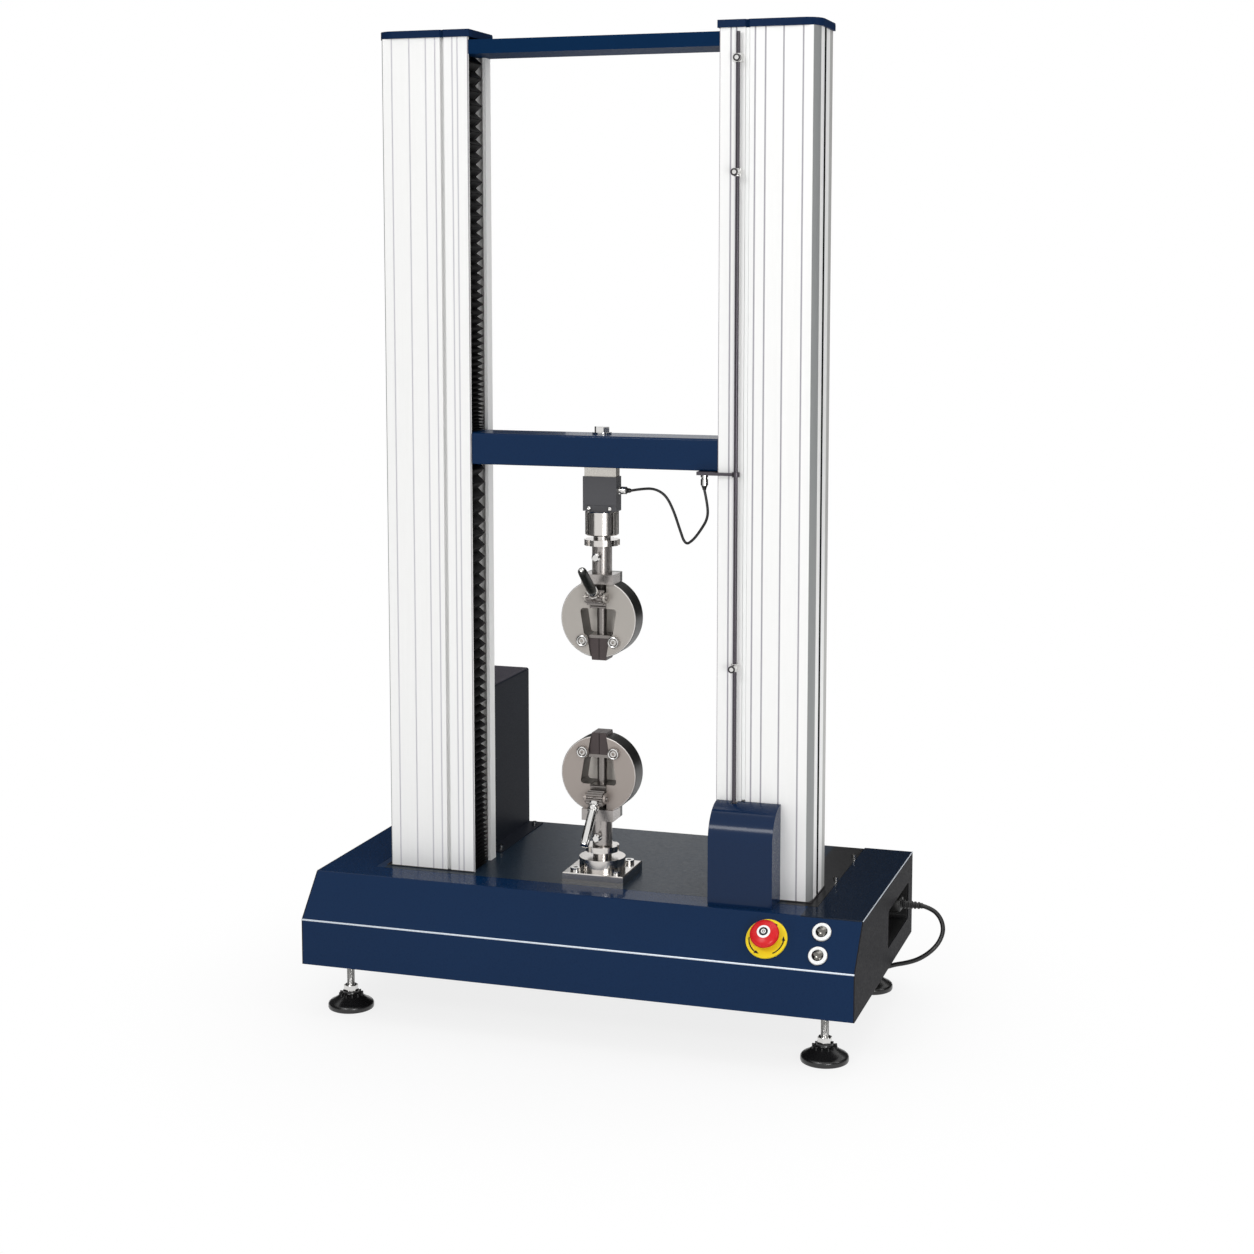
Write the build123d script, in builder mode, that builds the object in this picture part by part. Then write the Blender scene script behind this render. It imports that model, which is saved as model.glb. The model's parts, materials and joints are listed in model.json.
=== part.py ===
"""Floor-standing twin-column universal testing machine.

Frame: origin on the floor under the middle of the base, +Z up, -Y towards the operator.
All lengths are in millimetres.
"""

import os
from math import hypot, pi, radians, sqrt, tan

from build123d import *

os.makedirs("parts", exist_ok=True)

# Base
base_width = 850.0
base_depth = 440.0
ground_clearance = 80.0
base_height = 130.2
front_wall_height = 69.3
slant_setback = 55.4
sheet = 1.5
bend_radius = 4.0
cutout_gap = 0.6
panel_cut_depth = 6.0

# Bed plate
bed_thickness = 20.0
bed_side_margin = 30.0
bed_front_margin = 70.0
bed_back_margin = 7.0
bed_land_margin = 14.0
bed_land_front_margin = 15.0

# Columns
column_gap = 382.6
column_width = 142.5
column_depth = 91.3
column_length = 1254.1
column_front_margin = 118.0
column_wall = 5.0
column_front_wall = 10.0
column_outer_wall = 12.0
column_lip_depth = 20.3
corner_width = 6.5
corner_depth = 22.0
corner_bulge_share = 0.62
front_slot_offset = 40.8
front_slot_width = 6.3
front_slot_lip = 3.0
front_slot_room_width = 11.0
front_slot_room_depth = 4.4
side_slot_offset = 38.0
side_slot_width = 12.0
side_slot_depth = 8.0
line_width = 1.4
line_depth = 0.7
front_line_shares = (0.115, 0.172, 0.363, 0.468, 0.652, 0.849)

# Caps and top beam
cap_thickness = 10.8
cap_overhang = 3.0
cap_corner_radius = 26.0
cap_edge_radius = 2.4
cap_notch_width = 5.0
cap_notch_angle = 45.0
beam_height = 20.4
beam_drop = 4.4
beam_setback = 2.0

# Drive inside the columns
screw_radius = 12.5
screw_journal_radius = 8.5
screw_offset = 70.7
guide_radius = 10.0
guide_spacing = 80.0
guide_seat_depth = 12.0
running_gap = 0.05
free_gap = 0.3
bearing_width = 56.0
bearing_depth = 60.0
bearing_height = 34.0
pulley_radius = 46.0
pulley_height = 26.0
pulley_flange_radius = 50.0
pulley_flange_thickness = 2.5
pulley_drop = 15.0
motor_pulley_radius = 24.0
belt_thickness = 5.0
belt_flange_gap = 1.0

# Crosshead
crosshead_height = 46.9
crosshead_rise = 626.1
crosshead_side_gap = 1.2
crosshead_front_setback = 2.4
crosshead_depth = 66.0
crosshead_edge_radius = 3.0
tongue_front_setback = 10.0
tongue_depth = 58.0
tongue_end_gap = 1.8
nut_radius = 18.0
nut_flange_radius = 26.0
nut_flange_thickness = 10.0
bush_radius = 16.0
shell_gap = 0.2

# Bellows
bellows_depth = 51.0
bellows_room = 16.0
bellows_thickness = 2.0
bellows_inset = 0.3
upper_fold_count = 45
lower_fold_count = 52
fold_growth = 6.0

# Load string
load_axis_setback = 46.0
bolt_across_flats = 20.0
bolt_head_height = 8.3
bolt_shank_radius = 6.0
bolt_reach = 16.0
washer_radius = 14.3
washer_thickness = 2.6
cell_width = 49.4
cell_thickness = 18.0
cell_height = 67.7
cell_slot_height = 5.0
cell_web_width = 9.0
cell_slot_shares = (0.30, 0.70)
cell_core_radius = 9.0
cell_cover_thickness = 3.0
cell_cover_drop = 16.3
cell_cover_screw_radius = 3.0
cell_cover_screw_spacing = 32.6
cell_cover_screw_rise = 4.2
cell_cover_step_rise = 8.5
coupling_radius = 25.2
coupling_height = 36.5
coupling_neck_radius = 12.9
coupling_neck_height = 6.3
lock_ring_radius = 26.6
lock_ring_height = 8.8
lock_notch_width = 6.0
lock_notch_depth = 2.6
lock_notch_count = 6
stud_radius = 10.0
stud_gap = 0.1
shank_radius = 15.0
shank_length = 41.0
lock_to_shank_gap = 1.0
pin_radius = 4.0
pin_head_radius = 6.5
pin_head_length = 10.0
pin_head_edge = 2.0
pin_head_standoff = 7.0
pin_height_share = 0.63
pin_tail = 2.0

# Wedge grips
grip_radius = 58.8
grip_thickness = 37.0
grip_flat_height = 53.0
yoke_width = 49.8
yoke_depth = 49.0
upper_yoke_height = 14.4
lower_yoke_height = 17.3
yoke_edge_radius = 4.0
window_top = 15.5
window_bottom = 25.5
window_top_half = 29.0
window_bottom_half = 22.5
window_corner_radius = 5.0
wedge_angle = 10.0
jaw_start = 30.0
jaw_reach = 63.0
jaw_half_width = 17.0
jaw_depth = 30.0
jaw_gap = 0.4
jaw_tooth_pitch = 2.4
jaw_tooth_depth = 0.6
pocket_gap = 0.35
carrier_height = 4.6
carrier_gap = 0.25
retainer_radius = 9.2
retainer_height = 4.6
retainer_offset = 24.6
retainer_drop = 33.6
retainer_slot_width = 2.4
retainer_slot_depth = 1.4
retainer_slot_angle = 60.0
rod_radius = 7.5
rod_gap = 0.2
rack_half_width = 12.4
rack_gap = 0.25
rack_bottom = 16.2
rack_top = 38.6
rack_depth = 18.0
tooth_module = 2.0
tooth_angle = 20.0
pinion_teeth = 10
pinion_offset = 12.5
pinion_height = 33.8
tooth_backlash = 1.2
rack_tooth_count = 4
tooth_addendum_share = 0.6
tooth_dedendum_share = 0.85
ear_thickness = 3.4
ear_radius = 7.5
ear_gap = 0.6
axle_radius = 3.5
axle_overhang = 2.4
lever_length = 80.0
lever_ferrule_radius = 8.0
lever_ferrule_length = 22.0
lever_radius = 6.3
lever_tip_radius = 3.0
upper_lever_lean = 52.0
lower_lever_lean = 42.7

# Lower fixture
flange_size = 96.0
flange_thickness = 14.0
flange_bolt_spacing = 64.0
flange_bolt_head_radius = 8.0
flange_bolt_head_height = 5.0
flange_bolt_socket_radius = 4.0
puck_radius = 35.0
puck_height = 17.0
lower_neck_radius = 14.0
lower_neck_height = 8.6
lower_lock_radius = 25.4

# Limit rod with its stops
limit_rod_radius = 2.75
limit_rod_offset = 29.2
limit_rod_gap = 5.25
limit_rod_top_gap = 6.3
limit_rod_foot = 10.0
stop_radius = 6.0
stop_height = 11.0
stop_bore_gap = 0.05
stop_screw_radius = 5.0
stop_screw_length = 11.0
guide_screw_height = 3.7
upper_stop_drop = 202.1
lower_stop_rise = 343.0
upper_guide_drop = 43.1
rod_guide_height = 12.0
guide_bore_gap = 0.08
lower_guide_rise = 112.0
actuator_radius = 5.0
actuator_height = 7.0
actuator_rise = 70.0
switch_size = 26.0
switch_depth = 16.0
switch_gap = 6.0
striker_ring_radius = 5.6
striker_ring_height = 7.0
striker_ring_gap = 0.7
striker_bar_height = 4.4
striker_bar_depth = 4.6
striker_plate_thickness = 5.0
striker_plate_width = 26.0
striker_plate_depth = 40.0
striker_plate_inset = 2.0

# Hood over the limit switches
hood_width = 96.0
hood_offset = 1.2
hood_depth = 50.0
hood_height = 143.6
hood_slot_width = 9.0

# Motor and its cover
motor_box_width = 128.0
motor_box_end_margin = 80.0
motor_box_height = 260.8
motor_box_front_gap = 18.7
motor_box_back_margin = 7.0
motor_box_edge_radius = 4.0
motor_flange_width = 26.0
motor_flange_end_margin = 8.0
motor_side = 92.0
motor_height = 170.0
motor_edge_radius = 8.0
encoder_radius = 34.0
encoder_height = 34.0
motor_shaft_radius = 9.5
motor_shaft_reach = 56.0
vent_slot_length = 60.0
vent_slot_width = 4.0
vent_slot_pitch = 10.0
vent_slot_count = 6
vent_column_pitch = 96.0
vent_column_count = 3
motor_vent_share = 0.72

# Frame under the bed
rail_width = 40.0
rail_wall = 3.0
rail_front_margin = 62.0
rail_back_margin = 20.0
cross_rail_height = 40.0
cross_rail_front = 130.0
cross_rail_back = 190.0
foot_side_offset = 54.0
foot_end_offset = 56.0
foot_pad_radius = 35.0
foot_pad_height = 9.0
foot_bell_height = 13.0
foot_bulge_width_share = 0.62
foot_bulge_height_share = 0.72
foot_neck_radius = 12.0
foot_neck_height = 6.0
foot_hex_across_flats = 19.0
foot_hex_height = 8.0
foot_stud_radius = 6.0
foot_nut_size = 33.0
foot_nut_height = 22.0
tray_hole_radius = 16.0

# Operator controls on the slanted panel
control_slope_share = 0.498
estop_offset = 133.5
estop_disc_radius = 30.0
estop_disc_thickness = 2.5
estop_collar_radius = 14.5
estop_collar_height = 7.0
estop_stem_radius = 10.5
estop_stem_top = 14.0
estop_head_radius = 22.5
estop_head_bottom = 9.0
estop_head_rim = 7.0
estop_head_dome = 8.0
jog_offset = 56.2
jog_spacing = 36.6
jog_bezel_radius = 13.0
jog_bezel_height = 3.0
jog_button_radius = 7.6
jog_button_height = 4.8
jog_button_dome = 2.2
jog_depth = 8.0
control_gap = 0.3

# Power inlet in the right end
recess_front = 24.0
recess_length = 164.0
recess_bottom = 112.0
recess_height = 58.0
recess_depth = 28.0
recess_rim = 6.0
inlet_y = 142.0
inlet_z = 147.5
inlet_width = 28.0
inlet_height = 21.0
inlet_stand = 5.0
inlet_wall = 3.0
rocker_y = 84.0
rocker_width = 22.0
rocker_height = 30.0
rocker_frame_wall = 3.0
rocker_thickness = 9.0
rocker_crown = 3.0
rocker_tilt = 8.0
rocker_gap = 0.5
rocker_pivot_radius = 2.0
plug_body_length = 26.0
plug_neck_length = 32.0
plug_neck_radius = 6.2
plug_rib_count = 5
plug_rib_start = 4.0
plug_rib_pitch = 5.6
plug_rib_width = 2.9
plug_neck_taper = 2.5

# Mains cord and its storage coil
cord_radius = 3.5
coil_x = 235.0
coil_y = 115.7
coil_outer_radius = 53.0
coil_inner_radius = 24.0
coil_exit_radius = 42.0
coil_height = 15.0
coil_edge = 4.0
far_plug_width = 26.0
far_plug_height = 18.0
far_plug_length = 34.0
far_plug_edge = 4.5
far_plug_neck = 12.0
blade_length = 17.0
blade_width = 6.4
blade_thickness = 1.6
blade_spacing = 12.8

# Load-cell cable
cable_radius = 2.0
cable_plug_radius = 6.0
cable_plug_length = 12.0
cable_boot_radius = 4.2
cable_boot_length = 7.0
cell_plug_drop = 36.6
box_plug_radius = 5.4
box_plug_length = 17.0
box_plug_boot = 6.0
box_plug_end_margin = 22.2
box_plug_front_margin = 9.6
bend_share = 0.45

# Small fasteners on the bed
cap_screw_radius = 4.0
cap_screw_height = 6.0
bed_screw_inset = 4.0
bed_screw_ys = (23.6, 156.0)

# One overrun for every cut
overrun = 5.0

# Levels and faces worked out from the sizes above
base_bottom = ground_clearance
bed_z = ground_clearance + base_height
bend_z = ground_clearance + front_wall_height
front_y = -base_depth / 2
back_y = base_depth / 2
side_x = base_width / 2
bed_width = base_width - 2 * bed_side_margin
bed_top_y = front_y + slant_setback
bed_bottom = bed_z - bed_thickness
column_in = column_gap / 2
column_out = column_in + column_width
column_front = front_y + column_front_margin
column_back = column_front + column_depth
column_top = bed_z + column_length
load_y = column_front + load_axis_setback
screw_x = column_in + screw_offset
crosshead_bottom = bed_z + crosshead_rise
crosshead_top = crosshead_bottom + crosshead_height
crosshead_front = column_front + crosshead_front_setback
crosshead_half = column_in - crosshead_side_gap
tongue_front = column_front + tongue_front_setback
tongue_end = column_out - column_outer_wall - tongue_end_gap
beam_top = column_top - beam_drop
beam_bottom = beam_top - beam_height
land_half = column_out + bed_land_margin
land_front = column_front - bed_land_front_margin
rod_x = column_in + limit_rod_offset
rod_y = column_front - limit_rod_gap - limit_rod_radius
foot_x = side_x - foot_side_offset
foot_y = back_y - foot_end_offset
guide_offsets = (-guide_spacing / 2, guide_spacing / 2)
pulley_top = bed_bottom - pulley_drop
pulley_bottom = pulley_top - pulley_height
motor_box_side = side_x - motor_box_end_margin - motor_box_width
motor_x = -(motor_box_side + motor_box_width / 2)
motor_box_front = column_back + motor_box_front_gap
motor_box_back = back_y - motor_box_back_margin
motor_y = (motor_box_front + motor_box_back) / 2
panel_x = side_x - recess_depth

# The slanted operator panel: its origin is at the front bend, its X along the machine
slant_rise = base_height - front_wall_height
slant_length = hypot(slant_setback, slant_rise)
slant_normal = (0, -slant_rise / slant_length, slant_setback / slant_length)
slant_plane = Plane(origin=(0, front_y, bend_z), x_dir=(1, 0, 0), z_dir=slant_normal)


def save(piece, name):
    """Label a finished piece and write its STEP file."""
    piece.label = name
    export_step(piece, f"parts/{name}.step")


def cover_outline(reach, inset):
    """Side outline of the base, its back and bottom run out by a reach, shrunk by an inset."""
    with BuildSketch(Plane.YZ) as outline:
        with BuildLine():
            Polyline(
                (front_y, base_bottom - reach),
                (front_y, bend_z),
                (bed_top_y, bed_z),
                (back_y + reach, bed_z),
                (back_y + reach, base_bottom - reach),
                close=True,
            )
        make_face()
        bends = outline.vertices().filter_by(lambda v: v.X <= bed_top_y and v.Y >= bend_z)
        fillet(bends, radius=bend_radius)
        offset(amount=-inset)
    return outline.sketch


def control_point(offset_x, slope):
    """Plane on the slanted panel at a distance from the right end and up the slope."""
    centre = slant_plane.from_local_coords((side_x - offset_x, slope, 0))
    return Plane(origin=centre, x_dir=(1, 0, 0), z_dir=slant_normal)


control_slope = slant_length * control_slope_share
estop_plane = control_point(estop_offset, control_slope)
jog_planes = [control_point(jog_offset, control_slope + side * jog_spacing / 2) for side in (1, -1)]


def make_base_cover():
    """Folded sheet cover with the slanted panel, open round the bed plate."""
    inner_half = side_x - sheet
    with BuildPart() as cover:
        extrude(cover_outline(0, 0), amount=inner_half, both=True)
        room = cover_outline(overrun, sheet)
        extrude(room, amount=inner_half + overrun, both=True, mode=Mode.SUBTRACT)
        with BuildSketch(Plane.XY.offset(bed_z)):
            with Locations((0, (land_front - cutout_gap + back_y + overrun) / 2)):
                Rectangle(
                    2 * (land_half + cutout_gap),
                    back_y + overrun - land_front + cutout_gap,
                )
        extrude(amount=-2 * sheet, mode=Mode.SUBTRACT)
        with BuildSketch(estop_plane):
            Circle(estop_collar_radius)
        extrude(amount=-panel_cut_depth, mode=Mode.SUBTRACT)
        for plane in jog_planes:
            with BuildSketch(plane):
                Circle(jog_button_radius + 2 * sheet)
            extrude(amount=-panel_cut_depth, mode=Mode.SUBTRACT)
    return cover.part


def make_base_panels():
    """End panels, vented back panel and bottom tray."""
    with BuildPart() as panels:
        extrude(cover_outline(0, 0), amount=side_x, both=True)
        extrude(cover_outline(0, 0), amount=side_x - sheet, both=True, mode=Mode.SUBTRACT)
        with BuildSketch(Plane.YZ.offset(side_x)):
            with Locations((recess_front + recess_length / 2, recess_bottom + recess_height / 2)):
                RectangleRounded(recess_length, recess_height, radius=recess_rim)
        extrude(amount=-2 * sheet, mode=Mode.SUBTRACT)
        with BuildSketch(Plane.XZ.offset(-back_y)):
            with Locations((0, (base_bottom + bed_z - sheet) / 2)):
                Rectangle(2 * (side_x - sheet), bed_z - sheet - base_bottom)
            with Locations((0, (base_bottom + bed_bottom) / 2)):
                with GridLocations(vent_column_pitch, vent_slot_pitch, vent_column_count, vent_slot_count):
                    SlotOverall(vent_slot_length, vent_slot_width, mode=Mode.SUBTRACT)
        extrude(amount=sheet)
        with BuildSketch(Plane.XY.offset(base_bottom)):
            Rectangle(2 * (side_x - sheet), base_depth - 2 * sheet)
            with GridLocations(2 * foot_x, 2 * foot_y, 2, 2):
                Circle(tray_hole_radius, mode=Mode.SUBTRACT)
        extrude(amount=sheet)
    return panels.part


def make_base_frame():
    """Two deep side rails on the feet, joined by two cross rails."""
    rail_z = base_bottom + sheet
    rail_height = bed_bottom - rail_z
    rail_start = front_y + rail_front_margin
    rail_length = back_y - rail_back_margin - rail_start
    with BuildPart() as frame:
        with BuildSketch(Plane.XZ.offset(-rail_start)):
            with Locations((-foot_x, rail_z + rail_height / 2), (foot_x, rail_z + rail_height / 2)):
                Rectangle(rail_width, rail_height)
                Rectangle(rail_width - 2 * rail_wall, rail_height - 2 * rail_wall, mode=Mode.SUBTRACT)
        extrude(amount=-rail_length)
        for middle_y in (-cross_rail_front + rail_width / 2, cross_rail_back - rail_width / 2):
            with BuildSketch(Plane.YZ):
                with Locations((middle_y, rail_z + cross_rail_height / 2)):
                    Rectangle(rail_width, cross_rail_height)
                    Rectangle(
                        rail_width - 2 * rail_wall,
                        cross_rail_height - 2 * rail_wall,
                        mode=Mode.SUBTRACT,
                    )
            extrude(amount=foot_x - rail_width / 2, both=True)
        with BuildSketch(Plane.XY.offset(rail_z + rail_wall)):
            with GridLocations(2 * foot_x, 2 * foot_y, 2, 2):
                Rectangle(foot_nut_size, rail_width / 2)
        extrude(amount=foot_nut_height)
        with BuildSketch(Plane.XY.offset(rail_z - overrun)):
            with GridLocations(2 * foot_x, 2 * foot_y, 2, 2):
                Circle(foot_stud_radius + running_gap)
        extrude(amount=foot_nut_height + rail_wall + 2 * overrun, mode=Mode.SUBTRACT)
    return frame.part


def make_feet():
    """Four levelling feet: bell pad, hexagon and threaded stud."""
    hex_z = foot_pad_height + foot_bell_height + foot_neck_height
    stud_top = base_bottom + sheet + rail_wall + foot_nut_height
    with BuildPart() as foot:
        with BuildSketch(Plane.XZ):
            with BuildLine():
                start = (foot_pad_radius, foot_pad_height)
                shoulder = (foot_neck_radius, foot_pad_height + foot_bell_height)
                Polyline((0, 0), (foot_pad_radius - sheet, 0), (foot_pad_radius, sheet), start)
                ThreePointArc(
                    start,
                    (
                        foot_neck_radius + (foot_pad_radius - foot_neck_radius) * foot_bulge_width_share,
                        foot_pad_height + foot_bell_height * foot_bulge_height_share,
                    ),
                    shoulder,
                )
                Polyline(shoulder, (foot_neck_radius, hex_z), (0, hex_z), (0, 0))
            make_face()
        revolve(axis=Axis.Z)
        with BuildSketch(Plane.XY.offset(hex_z)):
            RegularPolygon(foot_hex_across_flats / 2, 6, major_radius=False)
        extrude(amount=foot_hex_height)
        with BuildSketch(Plane.XY.offset(hex_z + foot_hex_height)):
            Circle(foot_stud_radius)
        extrude(amount=stud_top - hex_z - foot_hex_height)
    spots = [Pos(x, y, 0) for x in (-foot_x, foot_x) for y in (-foot_y, foot_y)]
    return Compound(children=[spot * foot.part for spot in spots])


def make_bed_plate():
    """Thick machined plate: a land flush with the cover, bored for screws, guides and motor."""
    shelf_front = front_y + bed_front_margin
    shelf_back = back_y - bed_back_margin
    with BuildPart() as bed:
        with BuildSketch(Plane.XY.offset(bed_bottom)):
            with Locations((0, (shelf_front + shelf_back) / 2)):
                Rectangle(bed_width, shelf_back - shelf_front)
        extrude(amount=bed_thickness - sheet)
        with BuildSketch(Plane.XY.offset(bed_z - sheet)):
            with Locations((0, (land_front + shelf_back) / 2)):
                Rectangle(2 * land_half, shelf_back - land_front)
        extrude(amount=sheet)
        with BuildSketch(Plane.XY.offset(bed_z)):
            with Locations((-screw_x, load_y), (screw_x, load_y)):
                Circle(screw_radius)
            with Locations((motor_x, motor_y)):
                Circle(motor_pulley_radius)
        extrude(amount=-bed_thickness, mode=Mode.SUBTRACT)
        with BuildSketch(Plane.XY.offset(bed_z)):
            for side in (-screw_x, screw_x):
                for shift in guide_offsets:
                    with Locations((side + shift, load_y)):
                        Circle(guide_radius + running_gap)
        extrude(amount=-guide_seat_depth, mode=Mode.SUBTRACT)
    return bed.part


def column_face():
    """Section of the right column, an extrusion open towards the other column."""
    slot_front = column_front + column_wall
    slot_back = column_back - column_lip_depth
    side_slot_y = column_front + side_slot_offset
    cavity_start = column_in + column_wall
    cavity_end = column_out - column_outer_wall
    cavity_front = column_front + column_front_wall
    cavity_back = column_back - column_wall
    bulge_x = column_out - corner_width * (1 - corner_bulge_share)
    bulge_y = column_front + corner_depth * (1 - corner_bulge_share)
    with BuildSketch(Plane.XY.offset(bed_z)) as face:
        with BuildLine():
            corner_start = (column_out - corner_width, column_front)
            corner_end = (column_out, column_front + corner_depth)
            Polyline((column_in, column_back), (column_in, column_front), corner_start)
            ThreePointArc(corner_start, (bulge_x, bulge_y), corner_end)
            Polyline(corner_end, (column_out, column_back), (column_in, column_back))
        make_face()
        with Locations(((cavity_start + cavity_end) / 2, (cavity_front + cavity_back) / 2)):
            Rectangle(cavity_end - cavity_start, cavity_back - cavity_front, mode=Mode.SUBTRACT)
        with Locations((column_in + bellows_room, (slot_front + slot_back) / 2)):
            Rectangle(2 * bellows_room, slot_back - slot_front, mode=Mode.SUBTRACT)
        slot_x = column_in + front_slot_offset
        with Locations((slot_x, column_front)):
            Rectangle(front_slot_width, 2 * (front_slot_lip + front_slot_room_depth), mode=Mode.SUBTRACT)
        with Locations((slot_x, column_front + front_slot_lip + front_slot_room_depth / 2)):
            Rectangle(front_slot_room_width, front_slot_room_depth, mode=Mode.SUBTRACT)
        with Locations((column_out, side_slot_y + side_slot_width / 2)):
            Rectangle(2 * side_slot_depth, side_slot_width, mode=Mode.SUBTRACT)
        for share in front_line_shares:
            with Locations((column_in + column_width * share, column_front)):
                Rectangle(line_width, 2 * line_depth, mode=Mode.SUBTRACT)
    return face.sketch


def make_column(side):
    """One column: the extruded section, mirrored for the left side."""
    with BuildPart() as column:
        extrude(column_face(), amount=column_length)
        if side < 0:
            mirror(about=Plane.YZ, mode=Mode.REPLACE)
    return column.part


def make_caps():
    """Moulded caps on the column tops, notched over the front slot."""
    centre_x = (column_in + column_out) / 2
    centre_y = (column_front + column_back) / 2
    with BuildPart() as cap:
        with BuildSketch(Plane.XY.offset(column_top)) as plan:
            with Locations((centre_x, centre_y)):
                Rectangle(column_width + 2 * cap_overhang, column_depth + 2 * cap_overhang)
            outer_front = plan.vertices().sort_by(Axis.X)[-2:].sort_by(Axis.Y)[0]
            fillet(outer_front, radius=cap_corner_radius)
            with Locations((column_in + front_slot_offset, column_front - cap_overhang)):
                Rectangle(cap_notch_width, 2 * cap_overhang, rotation=cap_notch_angle, mode=Mode.SUBTRACT)
        extrude(amount=cap_thickness)
        top_edges = cap.faces().sort_by(Axis.Z)[-1].edges()
        long_edges = top_edges.filter_by(lambda e: e.length > 2 * cap_notch_width)
        chamfer(long_edges.filter_by(GeomType.LINE).sort_by(Axis.Y)[-1], length=cap_edge_radius)
    return Compound(children=[cap.part, mirror(cap.part, about=Plane.YZ)])


def make_top_beam():
    """Tie beam between the columns, with a tongue in each that holds screw and guides."""
    front = column_front + beam_setback
    depth = column_depth - 2 * beam_setback
    with BuildPart() as beam:
        with BuildSketch(Plane.XY.offset(beam_bottom)):
            with Locations((0, front + depth / 2)):
                Rectangle(column_gap, depth)
            with Locations((0, tongue_front + tongue_depth / 2)):
                Rectangle(2 * tongue_end, tongue_depth)
        extrude(amount=beam_height)
        for side in (-screw_x, screw_x):
            with BuildSketch(Plane.XY.offset(beam_bottom)):
                with Locations((side, load_y)):
                    Circle(screw_journal_radius + running_gap)
                for shift in guide_offsets:
                    with Locations((side + shift, load_y)):
                        Circle(guide_radius + running_gap)
            extrude(amount=beam_height, mode=Mode.SUBTRACT)
    return beam.part


def make_column_guides():
    """Guide shafts and lower bearing blocks of both screws."""
    pieces = []
    with BuildPart() as shaft:
        with BuildSketch(Plane.XY.offset(bed_z - guide_seat_depth)):
            Circle(guide_radius)
        extrude(amount=beam_top - bed_z + guide_seat_depth)
        chamfer(shaft.edges().group_by(Axis.Z)[-1], length=line_width)
    with BuildPart() as block:
        with BuildSketch(Plane.XY.offset(bed_z)):
            Rectangle(bearing_width, bearing_depth)
            Circle(screw_journal_radius + running_gap, mode=Mode.SUBTRACT)
        extrude(amount=bearing_height)
        chamfer(block.faces().sort_by(Axis.Z)[-1].outer_wire().edges(), length=bend_radius / 2)
    for side in (-screw_x, screw_x):
        pieces.append(Pos(side, load_y, 0) * block.part)
        for shift in guide_offsets:
            pieces.append(Pos(side + shift, load_y, 0) * shaft.part)
    return Compound(children=pieces)


def pulley_sections(radius):
    """Rim and two flanges of a belt pulley, as radius, start and height."""
    flange_radius = radius + pulley_flange_radius - pulley_radius
    return (
        (flange_radius, pulley_bottom, pulley_flange_thickness),
        (radius, pulley_bottom + pulley_flange_thickness, pulley_height - 2 * pulley_flange_thickness),
        (flange_radius, pulley_top - pulley_flange_thickness, pulley_flange_thickness),
    )


def make_pulley(radius, shaft_radius):
    """Flanged belt pulley bored for its shaft."""
    with BuildPart() as pulley:
        for disc_radius, start, height in pulley_sections(radius):
            with BuildSketch(Plane.XY.offset(start)):
                Circle(disc_radius)
                Circle(shaft_radius, mode=Mode.SUBTRACT)
            extrude(amount=height)
    return pulley.part


def make_screw(side):
    """Ball screw with its journals, and the pulley keyed to its foot."""
    thread_start = bed_z + bearing_height + free_gap
    thread_end = beam_bottom - free_gap
    with BuildPart() as screw:
        with BuildSketch(Plane.XY.offset(pulley_bottom)):
            Circle(screw_journal_radius)
        extrude(amount=beam_top - pulley_bottom)
        with BuildSketch(Plane.XY.offset(thread_start)):
            Circle(screw_radius)
        extrude(amount=thread_end - thread_start)
    wheel = make_pulley(pulley_radius, screw_journal_radius)
    place = Pos(side * screw_x, load_y, 0)
    return Compound(children=[place * screw.part, place * wheel])


def belt_outline(clearance):
    """Outline drawn tight round the three pulleys with a clearance."""
    with BuildSketch(Plane.XY.offset(pulley_bottom)) as wheels:
        with Locations((-screw_x, load_y), (screw_x, load_y)):
            Circle(pulley_radius + clearance)
        with Locations((motor_x, motor_y)):
            Circle(motor_pulley_radius + clearance)
        make_hull()
    return wheels.sketch


def make_belt():
    """Toothed drive belt round both screw pulleys and the motor pulley."""
    start = pulley_flange_thickness + belt_flange_gap
    height = pulley_height - 2 * start
    band = Pos(0, 0, start) * belt_outline(free_gap + belt_thickness)
    room = Pos(0, 0, start) * belt_outline(free_gap)
    with BuildPart() as belt:
        extrude(band, amount=height)
        extrude(room, amount=height, mode=Mode.SUBTRACT)
    return belt.part


def make_motor():
    """Upright servo motor with its encoder housing."""
    with BuildPart() as motor:
        with BuildSketch(Plane.XY.offset(bed_z)):
            with Locations((motor_x, motor_y)):
                RectangleRounded(motor_side, motor_side, radius=motor_edge_radius)
        extrude(amount=motor_height)
        with BuildSketch(Plane.XY.offset(bed_z + motor_height)):
            with Locations((motor_x, motor_y)):
                Circle(encoder_radius)
        extrude(amount=encoder_height)
        with BuildSketch(Plane.XY.offset(bed_z)):
            with Locations((motor_x, motor_y)):
                Circle(motor_shaft_radius + free_gap)
        extrude(amount=motor_shaft_reach + free_gap, mode=Mode.SUBTRACT)
    return motor.part


def make_motor_pulley():
    """Motor shaft with its pulley under the bed."""
    with BuildPart() as shaft:
        with BuildSketch(Plane.XY.offset(pulley_bottom)):
            with Locations((motor_x, motor_y)):
                Circle(motor_shaft_radius)
        extrude(amount=bed_z - pulley_bottom + motor_shaft_reach)
    wheel = Pos(motor_x, motor_y, 0) * make_pulley(motor_pulley_radius, motor_shaft_radius)
    return Compound(children=[shaft.part, wheel])


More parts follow.
